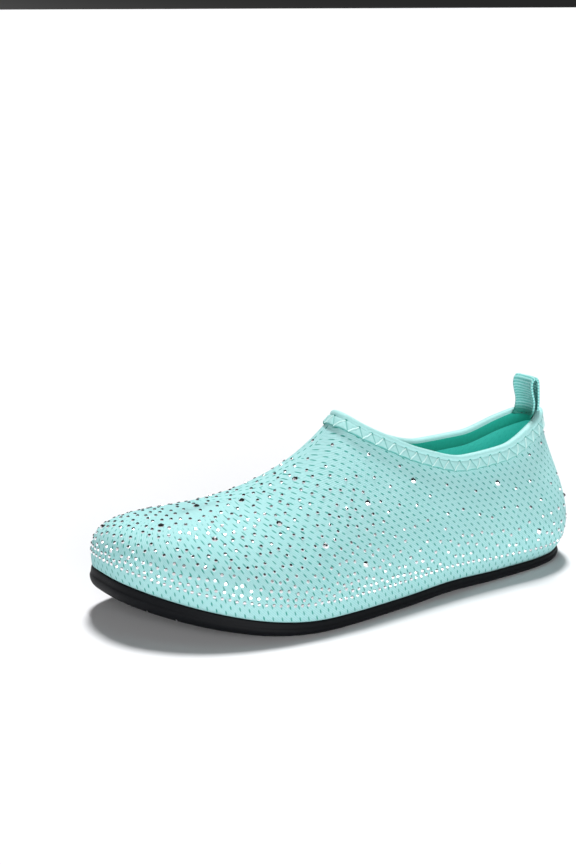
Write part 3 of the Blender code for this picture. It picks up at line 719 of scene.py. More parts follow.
def zigzag(length):
    """Share of the way down the band where the stitch runs: 0 at its peaks, 1 at its valleys."""
    return 2.0 * abs(length / stitch % 1.0 - 0.5)


def band_relief(length, share):
    """How far the band stands up between the legs of the zigzag."""
    near = abs(zigzag(length) - share) * (TAPE_DEPTH - GROOVE_DEPTH) * LEG_SLANT
    edge_ease = min(share, 1.0 - share) * BAND_EASE
    return PILLOW * min(near / PILLOW_EASE, 1.0) * min(edge_ease, 1.0)


def tape_section(i):
    """Points of one section and their depths on the flat tape."""
    length = edge_length[i]
    low = TAPE_DEPTH - SCALLOP * (1.0 - zigzag(length))
    section, depths = [], []
    for k in range(BAND_ROWS):
        share = 1.0 - k / BAND_ROWS
        depth = GROOVE_DEPTH + (low - GROOVE_DEPTH) * share
        lift = BAND_OFFSET + band_relief(length, share) - (HEM_SINK if k == 0 else 0.0)
        section.append(on_walk(i, depth, lift))
        depths.append(GROOVE_DEPTH + (TAPE_DEPTH - GROOVE_DEPTH) * share)
    for depth, offset in ROLL:
        pinch = PINCH * (1.0 - min(zigzag(length) / PINCH_SHARE, 1.0)) if depth > 1.1 else 0.0
        section.append(on_walk(i, depth, offset - pinch))
        depths.append(depth)
    flat = [-2.0 - k for k in range(len(INSIDE))]
    section += [on_walk(i, depth, offset) for depth, offset in INSIDE]
    return section + section[:1], depths + flat + [flat[-1] - 1.0]


rows = [tape_section(i % TAPE_STATIONS) for i in range(TAPE_STATIONS + 1)]
tape_points = np.array([section for section, _ in rows])
tape_flat = np.array([
    [(edge_length[i], depth) for depth in depths] for i, (_, depths) in enumerate(rows)
])
bm = sheet(tape_points, tape_flat * MM)
cloth = bm.loops.layers.uv.active
INNER_FROM = -1.9  # flat depths below this lie on the inner leaf
for face in bm.faces:
    face.material_index = int(max(loop[cloth].uv.y for loop in face.loops) < INNER_FROM * MM)
close(bm)
tape_faces = BVHTree.FromBMesh(bm)
print("tape:", tape_points.shape[1], "points in each of", TAPE_STATIONS, "sections")

# %% [markdown]
# The tape is a fine, smooth jersey, almost satin, and its roll catches the light. Its finish paints
# shade: a small dark spot in the hole at each corner of the zigzag where the needle pulled the thread
# tight, thin dark lines along the legs that run back, and the shadow of the hem. Inside the shoe the
# tape is painted a darker teal for the shade there.

# %% Tape material
HOLE_HALF = (0.7, 0.42, 1.0)  # half width and half height of a needle hole
HOLE_EDGE = (1.3, 0.5)  # a hole fades out and is whole at these shares of its half size
LINE_EDGE = (0.5, 0.12)  # distances at which the dark line of a leg fades out and is whole
LINE_STRENGTH = 0.55
HEM_SHADOW = (0.7, 0.2)  # distances above the hem where its shadow begins and is whole
HEM_STRENGTH = 0.8
# Fine stretch cloth, smooth enough for a soft shine along the roll.
jersey, shader = new_material(
    "aqua_smooth_jersey", Roughness=0.62, Sheen_Weight=0.3, Sheen_Roughness=0.35, IOR=1.46,
)
flat = add(jersey, "ShaderNodeUVMap", uv_map="cloth").outputs["UV"]
per_stitch = (1 / (stitch * MM), 1 / MM, 0.0)
moved = add(jersey, "ShaderNodeVectorMath", {0: flat, 1: per_stitch}, operation="MULTIPLY").outputs[0]
masks = []
# Painted shade: a small dark spot in the needle hole at each corner of the zigzag.
for share, depth in ((0.5, GROOVE_DEPTH - 0.1), (0.0, TAPE_DEPTH - 0.1)):
    centred = add(jersey, "ShaderNodeVectorMath", {0: moved, 1: (0.5 - share, 0.0, 0.0)},
                  operation="ADD").outputs[0]
    parts = add(jersey, "ShaderNodeSeparateXYZ", {0: centred})
    turn = add(jersey, "ShaderNodeMath", {0: parts.outputs[0]}, operation="FRACT").outputs[0]
    across = add(jersey, "ShaderNodeMath", {0: turn, 1: stitch, 2: -0.5 * stitch},
                 operation="MULTIPLY_ADD").outputs[0]
    down = add(jersey, "ShaderNodeMath", {0: parts.outputs[1], 1: depth}, operation="SUBTRACT").outputs[0]
    spot = add(jersey, "ShaderNodeCombineXYZ", {"X": across, "Y": down}).outputs[0]
    squeezed = add(jersey, "ShaderNodeVectorMath", {0: spot, 1: HOLE_HALF}, operation="DIVIDE").outputs[0]
    reach = add(jersey, "ShaderNodeVectorMath", {0: squeezed}, operation="LENGTH").outputs["Value"]
    masks.append(add(jersey, "ShaderNodeMapRange", {
        "Value": reach, "From Min": HOLE_EDGE[0], "From Max": HOLE_EDGE[1],
    }, interpolation_type="SMOOTHSTEP").outputs[0])
# Painted shade: a thin dark line along each leg that runs back, below the groove.
parts = add(jersey, "ShaderNodeSeparateXYZ", {0: moved})
turn = add(jersey, "ShaderNodeMath", {0: parts.outputs[0]}, operation="FRACT").outputs[0]
fall = add(jersey, "ShaderNodeMapRange", {
    "Value": parts.outputs[1], "From Min": GROOVE_DEPTH, "From Max": TAPE_DEPTH, "To Min": 0.5, "To Max": 0.0,
}).outputs[0]
aside = add(jersey, "ShaderNodeMath", {0: turn, 1: fall}, operation="SUBTRACT").outputs[0]
reach = add(jersey, "ShaderNodeMath", {0: aside}, operation="ABSOLUTE").outputs[0]
leg_shade_line = add(jersey, "ShaderNodeMapRange", {
    "Value": reach, "From Min": LINE_EDGE[0] / stitch, "From Max": LINE_EDGE[1] / stitch,
    "To Max": LINE_STRENGTH,
}, interpolation_type="SMOOTHSTEP").outputs[0]
in_band = add(jersey, "ShaderNodeMapRange", {
    "Value": parts.outputs[1], "From Min": GROOVE_DEPTH - 0.1, "From Max": GROOVE_DEPTH + 0.1,
}).outputs[0]
masks.append(add(jersey, "ShaderNodeMath", {0: leg_shade_line, 1: in_band}, operation="MULTIPLY").outputs[0])
# Painted shadow of the hem along the lower edge of the band.
masks.append(add(jersey, "ShaderNodeMapRange", {
    "Value": parts.outputs[1], "From Min": TAPE_DEPTH - HEM_SHADOW[0], "From Max": TAPE_DEPTH - HEM_SHADOW[1],
    "To Max": HEM_STRENGTH,
}).outputs[0])
painted_shade = masks[0]
for mask in masks[1:]:
    painted_shade = add(jersey, "ShaderNodeMath", {0: painted_shade, 1: mask}, operation="MAXIMUM").outputs[0]
fuzz = add(jersey, "ShaderNodeTexNoise", {"Vector": flat, "Scale": 1100.0, "Detail": 2.0}).outputs["Fac"]
plain = add(jersey, "ShaderNodeMix", {
    0: fuzz, 6: linear("#B6E4E2"), 7: linear("#98D6D4"),
}, data_type="RGBA").outputs[2]
shaded_jersey_colour = add(jersey, "ShaderNodeMix", {0: painted_shade, 6: plain, 7: linear("#2C9C93")}, data_type="RGBA").outputs[2]
height = add(jersey, "ShaderNodeMath", {0: fuzz, 1: 0.06}, operation="MULTIPLY").outputs[0]
bump = add(jersey, "ShaderNodeBump", {"Height": height, "Distance": MM, "Strength": 0.8}).outputs[0]
feed(jersey, shader, Base_Color=shaded_jersey_colour, Normal=bump)

# The same cloth without shine, for the leaf inside the shoe, painted a darker teal for the shade there.
dark_jersey, shader = new_material("teal_inner_jersey", Roughness=0.85, Sheen_Weight=0.1, IOR=1.46)
flat = add(dark_jersey, "ShaderNodeUVMap", uv_map="cloth").outputs["UV"]
fuzz = add(dark_jersey, "ShaderNodeTexNoise", {
    "Vector": flat, "Scale": FUZZ_PER_METRE, "Detail": 2.0,
}).outputs["Fac"]
# Painted shade: the inner leaf's colours are darker for the shade inside the collar.
inner_colour = add(dark_jersey, "ShaderNodeMix", {
    0: fuzz, 6: linear("#27BBA8"), 7: linear("#17A593"),
}, data_type="RGBA").outputs[2]
feed(dark_jersey, shader, Base_Color=inner_colour)
piece("collar_tape", bm, (jersey, dark_jersey), replaces="collar_binding")

# %% [markdown]
# The zigzag itself is a raised thread. The legs that the machine sews forwards stand proud and
# catch the light. The legs back are sunk in the cloth, and the tape's finish paints the shade along
# them as thin dark lines. Each proud leg is a short curve with a round bevel, made a mesh at once.

# %% Zigzag thread
THREAD = 0.30
LEG_POINTS = 7
LEG_ARCH = 0.2


def tube(name, lines, radius, material):
    """Round threads through lists of world points, as one mesh piece."""
    curve = bpy.data.curves.new(name, "CURVE")
    curve.dimensions = "3D"
    curve.bevel_depth = radius * MM
    curve.bevel_resolution = 1
    curve.use_fill_caps = True
    for line in lines:
        spline = curve.splines.new("POLY")
        spline.points.add(len(line) - 1)
        for spot, point in zip(spline.points, line):
            spot.co = (*point, 1.0)
    bm = bmesh.new()
    bm.from_mesh(baked(put(name + "_draft", curve)))
    return piece(name, bm, (material,))


def leg(start, end):
    """World points of one leg from one length and depth to another."""
    line = []
    for t in np.linspace(0.0, 1.0, LEG_POINTS):
        length = (start[0] + (end[0] - start[0]) * t) % edge_length[-1]
        i = int(np.searchsorted(edge_length, length)) % TAPE_STATIONS
        arch = BAND_OFFSET + LEG_ARCH * math.sin(math.pi * t)
        line.append(on_walk(i, start[1] + (end[1] - start[1]) * t, arch))
    return line


# Twisted polyester thread is paler and shinier than the cloth, so that each leg catches light.
thread, shader = new_material(
    "aqua_polyester_thread", Base_Color=linear("#D2F3F0"), Roughness=0.45, Sheen_Weight=0.2, IOR=1.5,
)
PEAK, VALLEY = GROOVE_DEPTH + 0.2, TAPE_DEPTH - 0.3
legs = [leg(((k + 1) * stitch, VALLEY), ((k + 0.5) * stitch, PEAK)) for k in range(stitches)]
tube("zigzag_thread", legs, THREAD, thread)

# %% [markdown]
# ## The pull loop
#
# Grosgrain webbing has thick cords across it under a fine warp, so its face is a row of small
# ridges. The tape goes up from the inside of the collar, bends over and comes down behind. It
# follows the round back of the collar at its feet, and is straighter at the top of the bend.

# %% Route of the pull loop
LOOP_WIDTH = 14.2
LOOP_TAPE = 1.2
LOOP_SEAT = 0.25
LOOP_PROBE = (60.0, 100.0)  # station and height from which the tape is looked for
LOOP_SEWN = (71.4, 72.5, 73.6)  # heights where the inner leaf lies against the collar tape
LOOP_FREE = (  # station, height of the middle of the tape, from the inner leaf over the top
    (12.0, 79.0), (13.6, 83.5), (15.0, 88.0), (14.9, 90.6), (13.2, 92.2), (11.4, 91.2),
    (10.4, 88.0), (9.7, 83.5), (9.1, 79.6),
)
LOOP_FOOT = 9.4
LOOP_BEND_LEFT = 0.5
LOOP_STEPS = 190
LOOP_ACROSS = 24
LOOP_ROUNDS = 30


def collar_bow(side):
    """How far the back of the collar has curved forwards at a side offset."""
    turn = math.asin((abs(side) / COLLAR_HALF_WIDTH) ** (1.0 / COLLAR_ROUNDNESS))
    return collar_centre()[1] * (1.0 - math.cos(turn))


def loop_route(side):
    """Smooth middle line of the webbing at one side offset, as station and height."""
    low, high = LOOP_FREE[0][1], max(column(LOOP_FREE, 1))
    half = 0.5 * LOOP_TAPE + LOOP_SEAT
    route = []
    for height in LOOP_SEWN:
        start = Vector(place((LOOP_PROBE[0], side, height)))
        hit, normal = tape_faces.ray_cast(start, Vector((0.0, 1.0, 0.0)))[:2]
        route.append((BODY_CENTRE_STATION - hit.y / MM + half / abs(normal.y), height))
    for station, height in LOOP_FREE:
        risen = min(max((height - low) / (high - low), 0.0), 1.0)
        route.append((station + collar_bow(side) * (1.0 - (1.0 - LOOP_BEND_LEFT) * risen), height))
    foot = LOOP_FOOT + collar_bow(side)
    hit = tape_faces.ray_cast(Vector(place((foot, side, LOOP_PROBE[1]))), Vector((0.0, 0.0, -1.0)))[0]
    route.append((foot, hit.z / MM + LOOP_SEAT))
    route = np.array(route)
    at = along(route)
    steps = np.linspace(0.0, at[-1], LOOP_STEPS + 1)
    rounded = np.column_stack([smooth_table(steps, at, route[:, k]) for k in (0, 1)])
    for _ in range(LOOP_ROUNDS):
        rounded[1:-1] = 0.5 * rounded[1:-1] + 0.25 * (rounded[:-2] + rounded[2:])
    return spaced(rounded, np.linspace(0.0, 1.0, LOOP_STEPS + 1))


print("the loop's tape is", round(along(loop_route(0.0))[-1]), "mm long")

# %% [markdown]
# The section of the webbing is carried along that route. Its cords swell the face in a wave, and
# the woven edges, the selvedges, are a little plumper than the middle.

# %% Webbing
CORD_PITCH = 1.55
CORD_HEIGHT = 0.13
SELVEDGE = 0.8
SELVEDGE_PLUMP = 0.18
SELVEDGE_TURN = 0.04  # half the way round a selvedge, as a share of the webbing's width


def loop_ring():
    """Side offset, thickness share and flat place round the webbing's section."""
    bulge = 0.5 + 0.5 * SELVEDGE_TURN
    face = [(x, 0.5, x + 0.5) for x in np.linspace(-0.5, 0.5, LOOP_ACROSS + 1)]
    back = [(x, -0.5, 1.5 + 2 * SELVEDGE_TURN - x) for x in np.linspace(0.5, -0.5, LOOP_ACROSS + 1)]
    last = [(-bulge, 0.0, 2 + 3 * SELVEDGE_TURN), (-0.5, 0.5, 2 + 4 * SELVEDGE_TURN)]
    return face + [(bulge, 0.0, 1 + SELVEDGE_TURN)] + back + last


loop_points, loop_flat = [], []
for x, thick, flat_place in loop_ring():
    side = x * LOOP_WIDTH
    route = loop_route(max(min(side, 0.5 * LOOP_WIDTH), -0.5 * LOOP_WIDTH))
    ahead = np.gradient(route, axis=0)
    ahead /= np.linalg.norm(ahead, axis=1)[:, None]
    out = np.column_stack((ahead[:, 1], -ahead[:, 0]))
    length = along(route)
    cords = CORD_HEIGHT * np.cos(math.tau * length / CORD_PITCH)
    plump = SELVEDGE_PLUMP * (0.5 - abs(x) < SELVEDGE / LOOP_WIDTH)
    lift = thick * LOOP_TAPE + np.sign(thick) * (cords + plump - CORD_HEIGHT) * (abs(thick) > 0)
    moved = route + out * lift[:, None]
    loop_points.append(np.column_stack((moved[:, 0], np.full(len(moved), side), moved[:, 1])))
    loop_flat.append(np.column_stack((np.full(len(length), flat_place * LOOP_WIDTH), length)))
bm = sheet(place(np.array(loop_points)), np.array(loop_flat) * MM)
close(bm, fill=True)
print("webbing:", len(bm.faces), "faces before it is a piece")

# %% [markdown]
# The cords are painted as pale bars, with painted shade in the gaps between them. The inner end of
# the webbing is sewn down inside the collar: it is painted darker there for the collar's shadow, and
# small dark stitches tack it to the tape.

# %% Webbing material
YARNS_PER_METRE = (1700.0, 700.0, 1.0)
SHADED_END = (1.5, 6.5)  # lengths from the inner end where the painted shadow is whole and where it is gone
TACK_END = (1.3, 1.9)  # the same for its stitches
TACK_PITCH = 0.95
TACK_EDGE = (0.42, 0.22)  # shares of the pitch at which a stitch fades out and is whole
# Nylon webbing shines softly. Its ridges are painted as pale bars, and the gaps between them darker.
webbing, shader = new_material("aqua_grosgrain_webbing", Roughness=0.6, Sheen_Weight=0.2, IOR=1.5)
flat = add(webbing, "ShaderNodeUVMap", uv_map="cloth").outputs["UV"]
yarns = add(webbing, "ShaderNodeMapping", {"Vector": flat, "Scale": YARNS_PER_METRE}).outputs[0]
grain = add(webbing, "ShaderNodeTexNoise", {"Vector": yarns, "Scale": 1.0, "Detail": 2.0}).outputs["Fac"]
cord_turn = add(webbing, "ShaderNodeVectorMath", {0: flat, 1: (0.0, math.tau / (CORD_PITCH * MM), 0.0)},
                operation="DOT_PRODUCT").outputs["Value"]
# Painted light and shade: each cord is paler and the gap between cords darker.
cord_light_shade = add(webbing, "ShaderNodeMath", {0: cord_turn}, operation="COSINE").outputs[0]
tone = add(webbing, "ShaderNodeMath", {0: cord_light_shade, 1: 0.30, 2: 0.22}, operation="MULTIPLY_ADD").outputs[0]
tone = add(webbing, "ShaderNodeMath", {0: grain, 1: 0.55, 2: tone}, operation="MULTIPLY_ADD").outputs[0]
colour = add(webbing, "ShaderNodeMix", {
    0: tone, 6: linear("#2FB0A8"), 7: linear("#B4F2F0"),
}, data_type="RGBA").outputs[2]
up = add(webbing, "ShaderNodeSeparateXYZ", {0: flat}).outputs[1]
# Painted shadow: the inner end is darker where the collar shades it.
end_shadow = add(webbing, "ShaderNodeMapRange", {
    "Value": up, "From Min": SHADED_END[1] * MM, "From Max": SHADED_END[0] * MM,
}, interpolation_type="SMOOTHSTEP").outputs[0]
colour = add(webbing, "ShaderNodeMix", {
    0: end_shadow, 6: colour, 7: linear("#0F8576"),
}, data_type="RGBA").outputs[2]
per_tack = (1 / (TACK_PITCH * MM), 1 / (TACK_PITCH * MM), 0.0)
tacks = add(webbing, "ShaderNodeVectorMath", {0: flat, 1: per_tack}, operation="MULTIPLY").outputs[0]
dots = add(webbing, "ShaderNodeTexVoronoi", {
    "Vector": tacks, "Scale": 1.0, "Randomness": 0.7,
}).outputs["Distance"]
dot_mask = add(webbing, "ShaderNodeMapRange", {
    "Value": dots, "From Min": TACK_EDGE[0], "From Max": TACK_EDGE[1],
}).outputs[0]
low_end = add(webbing, "ShaderNodeMapRange", {
    "Value": up, "From Min": TACK_END[1] * MM, "From Max": TACK_END[0] * MM,
}).outputs[0]
tacked = add(webbing, "ShaderNodeMath", {0: dot_mask, 1: low_end}, operation="MULTIPLY").outputs[0]
colour = add(webbing, "ShaderNodeMix", {
    0: tacked, 6: colour, 7: linear("#0B2A2B"),
}, data_type="RGBA").outputs[2]
bump = add(webbing, "ShaderNodeBump", {"Height": grain, "Distance": 0.25 * MM, "Strength": 0.8}).outputs[0]
feed(webbing, shader, Base_Color=colour, Normal=bump)
piece("webbing_loop", bm, (webbing,), replaces="pull_loop")

# %% [markdown]
# ## The rubber sole
#
# The sole is moulded in near-black rubber with a fine spark-eroded grain. Its side band has a
# soft bead along the bottom and a shallower strip above, which lies in the shadow of the knit.
# Black rubber sends little light back. What the eye reads is the soft, broken shine of the
# grain, which is duller in some places than in others.

# %% Rubber
GRAIN_PER_METRE = 1900.0
CLOUDS_PER_METRE = 45.0
SHINE = (0.46, 0.62)  # roughness where the mould left it smoothest and dullest
rubber, shader = new_material("moulded_black_rubber", Roughness=0.55, IOR=1.45, Specular_IOR_Level=0.15)
spot = add(rubber, "ShaderNodeTexCoord").outputs["Object"]
grain = add(rubber, "ShaderNodeTexNoise", {
    "Vector": spot, "Scale": GRAIN_PER_METRE, "Detail": 3.0, "Roughness": 0.6,
}).outputs["Fac"]
cloud = add(rubber, "ShaderNodeTexNoise", {
    "Vector": spot, "Scale": CLOUDS_PER_METRE, "Detail": 2.0,
}).outputs["Fac"]
tone = add(rubber, "ShaderNodeMix", {
    0: grain, 6: linear("#030406"), 7: linear("#121418"),
}, data_type="RGBA").outputs[2]
rough = add(rubber, "ShaderNodeMapRange", {"Value": cloud, "To Min": SHINE[0], "To Max": SHINE[1]}).outputs[0]
bump = add(rubber, "ShaderNodeBump", {"Height": grain, "Distance": 0.12 * MM, "Strength": 0.7}).outputs[0]
feed(rubber, shader, Base_Color=tone, Roughness=rough, Normal=bump)
print("rubber is drawn with", len(rubber.node_tree.nodes), "nodes")

# %% [markdown]
# The rings of the band are stacked like the frames of a boat, from the floor up the band and in
# onto the footbed. The upper edge is left a little ragged, like the flash of a mould.

# %% Body of the sole
SOLE_PAIRS = 150
PROFILE = (  # inset from the edge, share of the band height, from the floor up
    (2.6, 0.0), (1.5, 0.03), (0.7, 0.13), (0.2, 0.26), (0.0, 0.4), (0.12, 0.52), (0.42, 0.60),
    (0.62, 0.70), (0.75, 0.82), (1.0, 0.93), (1.5, 1.0),
)
PROFILE_STEPS = 3
LEDGE_INSET = 3.3
FOOTBED_INSET = 3.9
FOOTBED_THICKNESS = 4.0
FLASH = 0.28
FLASH_FROM = 0.93  # share of the band's height above which there is flash
flash_luck = np.random.default_rng(7)


def sole_rings():
    """Rings of the sole from the floor up the band and round onto the footbed."""
    knots = np.arange(len(PROFILE))
    fine = np.linspace(0, len(PROFILE) - 1, (len(PROFILE) - 1) * PROFILE_STEPS + 1)
    insets = smooth_table(fine, knots, column(PROFILE, 0))
    shares = smooth_table(fine, knots, column(PROFILE, 1))
    rings = []
    for inset, share in zip(insets, shares):
        ring = closed_ring(inset, SOLE_PAIRS)
        height = underside(ring[:, 0]) + share * band_height(ring[:, 0])
        if share > FLASH_FROM:
            height += FLASH * flash_luck.random(len(ring)) ** 3
        rings.append(np.column_stack((ring, height)))
    ledge = closed_ring(LEDGE_INSET, SOLE_PAIRS)
    rings.append(np.column_stack((ledge, underside(ledge[:, 0]) + band_height(ledge[:, 0]))))
    bed = closed_ring(FOOTBED_INSET, SOLE_PAIRS)
    rings.append(np.column_stack((bed, underside(bed[:, 0]) + FOOTBED_THICKNESS)))
    return np.array(rings)


def ladder(bm, points):
    """Close a ring with faces that run across the foot from side to side."""
    count = len(points)
    verts = [min(bm.verts, key=lambda v, p=Vector(p): (v.co - p).length_squared) for p in points]
    for i in range(count // 2):
        corners = [verts[i], verts[i + 1], verts[(count - i - 1) % count], verts[(count - i) % count]]
        bm.faces.new(list(dict.fromkeys(corners)))


def stack(rings, flat):
    """A closed body of rings, with a ladder of faces across the lowest and the highest one."""
    bm = sheet(place(rings), flat)
    bmesh.ops.remove_doubles(bm, verts=bm.verts[:], dist=WELD * MM)
    for ring in (rings[0, :-1], rings[-1, :-1]):
        ladder(bm, place(ring))
    bmesh.ops.recalc_face_normals(bm, faces=bm.faces[:])
    return bm


rings = sole_rings()
rings = np.concatenate((rings, rings[:, :1]), axis=1)
flat = np.stack(np.meshgrid(np.arange(len(rings)), along(rings[0]), indexing="ij"), axis=-1)
sole_body = put("sole_body", to_mesh("sole_body", stack(rings, flat * MM)))
print("sole body:", len(sole_body.data.polygons), "faces")

# %% [markdown]
# The tread copies the sole that the second shoe of the photograph shows. A recessed field holds a
# honeycomb of hexagons and nine round studs, a smooth panel lies under the arch, and the toes
# have grooved pads with a row of dimples behind them.

# %% Tread tables
CUT_START = -3.0
FIELD_DEPTH = 1.5
FIELD_BORDER = 7.2
FIELD_TRIM = 2.0
FIELD_STRIPS = (166.0, 170.0, 174.0, 178.0, 182.0, 186.0, 190.0, 194.0, 198.0, 202.0)
ARCH_DEPTH = 0.8
ARCH_WALL = 1.6
ARCH_TRIM = 4.0
LUG_ROOT = 0.5
HEX_PITCH = 10.2
HEX_WIDTH = 8.2
HEX_TAPER = 0.35
HEX_TURN = -5.5
HEX_START = (139.0, 33.2)
HEX_CLEARANCE = 0.4
RING_WALL = 1.7
RING_GAP = 1.5
RING_CORE = 2.5
RING_SIDES = 40
RINGS = (  # station, side offset, outer radius
    (176.2, -13.5, 13.5), (161.2, 27.8, 9.1), (147.8, -1.6, 9.9), (124.0, 6.5, 6.5),
    (100.9, 7.6, 6.3), (78.5, 4.5, 6.5), (60.6, -4.5, 6.5), (60.6, 19.1, 7.8), (33.7, 0.0, 11.1),
)
FIELD_FRONT = (  # station, side offset, from the outer to the inner edge
    (174.5, 36.0), (183.5, 26.0), (192.0, 13.0), (198.0, 1.0), (201.5, -12.0),
    (202.0, -24.0), (199.0, -35.0), (193.0, -42.0),
)
ARCH_EDGE = (  # station, side offset, from the ball to the heel
    (157.0, -29.5), (147.4, -20.5), (135.2, -10.8), (117.6, -2.7), (99.0, -2.5),
    (85.2, -7.4), (71.0, -14.2), (60.0, -23.6),
)
GROOVE_WIDTH = 1.2
GROOVE_CUT = 1.2
DIMPLE_RADIUS = 3.8
DIMPLE_SIDES = 24
DIMPLES = (  # station, side offset
    (188.0, 33.0), (199.5, 20.0), (207.8, 6.0), (212.5, -8.9), (211.9, -23.9),
)
TOE_PADS = (  # base station, base side, tip station, tip side, half-width, bars
    (199.5, 32.0, 215.5, 25.5, 6.2, 3), (210.5, 16.0, 229.0, 14.5, 5.6, 4),
    (217.5, 0.0, 238.0, 1.5, 6.0, 4), (219.5, -16.0, 243.5, -12.0, 6.2, 5),
    (213.5, -36.5, 240.0, -30.0, 7.0, 5),
)
BAR_RISE = 3.0
FIRST_BAR = 0.72
TREAD_PAIRS = 40


def polygon(station, side, radius, sides, turn=0.0):
    """A regular polygon in plan."""
    angle = turn + np.arange(sides) * math.tau / sides
    return np.column_stack((station + radius * np.sin(angle), side + radius * np.cos(angle)))


def tread_border():
    """Outer and inner side of the line that borders the tread."""
    border = closed_ring(FIELD_BORDER, TREAD_PAIRS)
    half = len(border) // 2
    return border[: half + 1], border[half:]


def tread_field():
    """Plan outline of the recessed field that holds the hexagons and rings."""
    outer, inner = tread_border()
    front, arch = np.array(FIELD_FRONT), np.array(ARCH_EDGE)
    outer = outer[outer[:, 0] < front[0, 0] - FIELD_TRIM]
    ball = inner[(inner[:, 0] < front[-1, 0] - FIELD_TRIM) & (inner[:, 0] > arch[0, 0] + FIELD_TRIM)]
    heel = inner[inner[:, 0] < arch[-1, 0] - FIELD_TRIM]
    return np.vstack((outer, front, ball, arch, heel))


def arch_panel():
    """Plan outline of the smooth recessed panel under the arch."""
    inner = tread_border()[1]
    arch = np.array(ARCH_EDGE) - (0.0, ARCH_WALL)
    side = inner[(inner[:, 0] > arch[-1, 0] + FIELD_TRIM) & (inner[:, 0] < arch[0, 0] - ARCH_TRIM)]
    return np.vstack((arch, side[::-1]))


def prism(bm, outline, low, high, strips=(), taper=0.0):
    """Upright prism whose ends follow the underside, low and high above it."""
    faces = [bm.faces.new([bm.verts.new((s, x, 0.0)) for s, x in outline])]
    for station in strips:
        geom = list(faces)
        geom += {edge for face in faces for edge in face.edges}
        geom += {vert for face in faces for vert in face.verts}
        cut = bmesh.ops.bisect_plane(bm, geom=geom, plane_co=(station, 0, 0), plane_no=(1, 0, 0))
        faces = [item for item in cut["geom"] if isinstance(item, bmesh.types.BMFace)]
    grown = bmesh.ops.extrude_face_region(bm, geom=faces, use_keep_orig=True)
    top = {item for item in grown["geom"] if isinstance(item, bmesh.types.BMVert)}
    bottom = {vert for face in faces for vert in face.verts}
    middle = np.mean(outline, axis=0)
    for vert in bottom | top:
        plan = np.array(vert.co[:2])
        if vert in bottom:
            away = plan - middle
            plan = plan - away / np.linalg.norm(away) * taper
        height = high if vert in top else low
        vert.co = place((*plan, float(underside(plan[0])) + height))


def toe_bars(pad):
    """Chevron grooves of one toe pad, as plan outlines."""
    base_s, base_x, tip_s, tip_x, half, bars = pad
    base, tip = np.array((base_s, base_x)), np.array((tip_s, tip_x))
    ahead = (tip - base) / np.linalg.norm(tip - base)
    across = np.array((-ahead[1], ahead[0]))
    for k in range(bars):
        middle = base + (tip - base) * k / (bars - 1)
        wide = half * (FIRST_BAR if k == 0 else 1.0)
        arm = GROOVE_WIDTH * ahead
        left = middle + across * wide + ahead * BAR_RISE
        right = middle - across * wide + ahead * BAR_RISE
        yield np.array((middle, left, left + arm, middle + arm, right + arm, right))


field = tread_field()
print("the tread's field has", len(field), "corners")

# %% [markdown]
# All that is recessed is made as one cutter, which a boolean takes out of the sole from below.
# Its parts start below the sole, so that no face of the cut lies on a face of the sole.

# %% Cutting the tread
cuts = bmesh.new()
prism(cuts, field, CUT_START, FIELD_DEPTH, FIELD_STRIPS)
prism(cuts, arch_panel(), CUT_START, ARCH_DEPTH)
for s, x in DIMPLES:
    prism(cuts, polygon(s, x, DIMPLE_RADIUS, DIMPLE_SIDES), CUT_START, GROOVE_CUT)
for pad in TOE_PADS:
    for bar in toe_bars(pad):
        prism(cuts, bar, CUT_START, GROOVE_CUT)
bmesh.ops.triangulate(cuts, faces=cuts.faces[:])
bmesh.ops.recalc_face_normals(cuts, faces=cuts.faces[:])
cutter = put("tread_cuts", to_mesh("tread_cuts", cuts))
step = sole_body.modifiers.new("cut", "BOOLEAN")
step.operation = "DIFFERENCE"
step.solver = "EXACT"
step.object = cutter
cut_sole = baked(sole_body)
bpy.data.objects.remove(cutter, do_unlink=True)
print("cut sole:", len(cut_sole.polygons), "faces")

# %% [markdown]
# The hexagons taper a little downwards, as they must to leave the mould. A round stud is a raised
# ring about a core, the largest one has three rings, and each core carries seven small dots.

# %% Studs of the tread
RING_BEVEL = 0.25
CORE_FACE = 0.45  # the core's face lies this far inside the field
CORE_TAPER = 0.2
DOT = 0.55
DOT_MIDDLE = 0.5
DOT_RING = 0.58  # share of the core's radius
SOLE_SHARP = 40.0  # degrees between faces from which an edge looks sharp


def inside(point, outline):
    """Whether a plan point lies inside a closed plan outline."""
    odd = False
    for (s0, x0), (s1, x1) in zip(outline, np.roll(outline, -1, axis=0)):
        if (x0 > point[1]) != (x1 > point[1]):
            if point[0] < s0 + (s1 - s0) * (point[1] - x0) / (x1 - x0):
                odd = not odd
    return odd


def edge_distance(point, outline):
    """Shortest distance from a plan point to a closed plan outline."""
    ahead = np.roll(outline, -1, axis=0) - outline
    share = np.sum((point - outline) * ahead, axis=1) / np.sum(ahead**2, axis=1)
    nearest = outline + np.clip(share, 0.0, 1.0)[:, None] * ahead
    return np.linalg.norm(nearest - point, axis=1).min()


def hex_centres():
    """Honeycomb places that fit inside the field and clear of the rings."""
    turn = math.radians(HEX_TURN)
    row = HEX_PITCH * np.array((math.cos(turn), math.sin(turn)))
    rank = HEX_PITCH * np.array((math.cos(turn + math.pi / 3.0), math.sin(turn + math.pi / 3.0)))
    reach = math.ceil(SOLE_LENGTH / HEX_PITCH)
    clear = 0.5 * HEX_WIDTH + HEX_CLEARANCE
    for a in range(-reach, reach + 1):
        for b in range(-reach, reach + 1):
            point = np.array(HEX_START) + a * row + b * rank
            if not inside(point, field) or edge_distance(point, field) < clear:
                continue
            if min(math.hypot(point[0] - s, point[1] - x) - r for s, x, r in RINGS) > clear:
                yield point


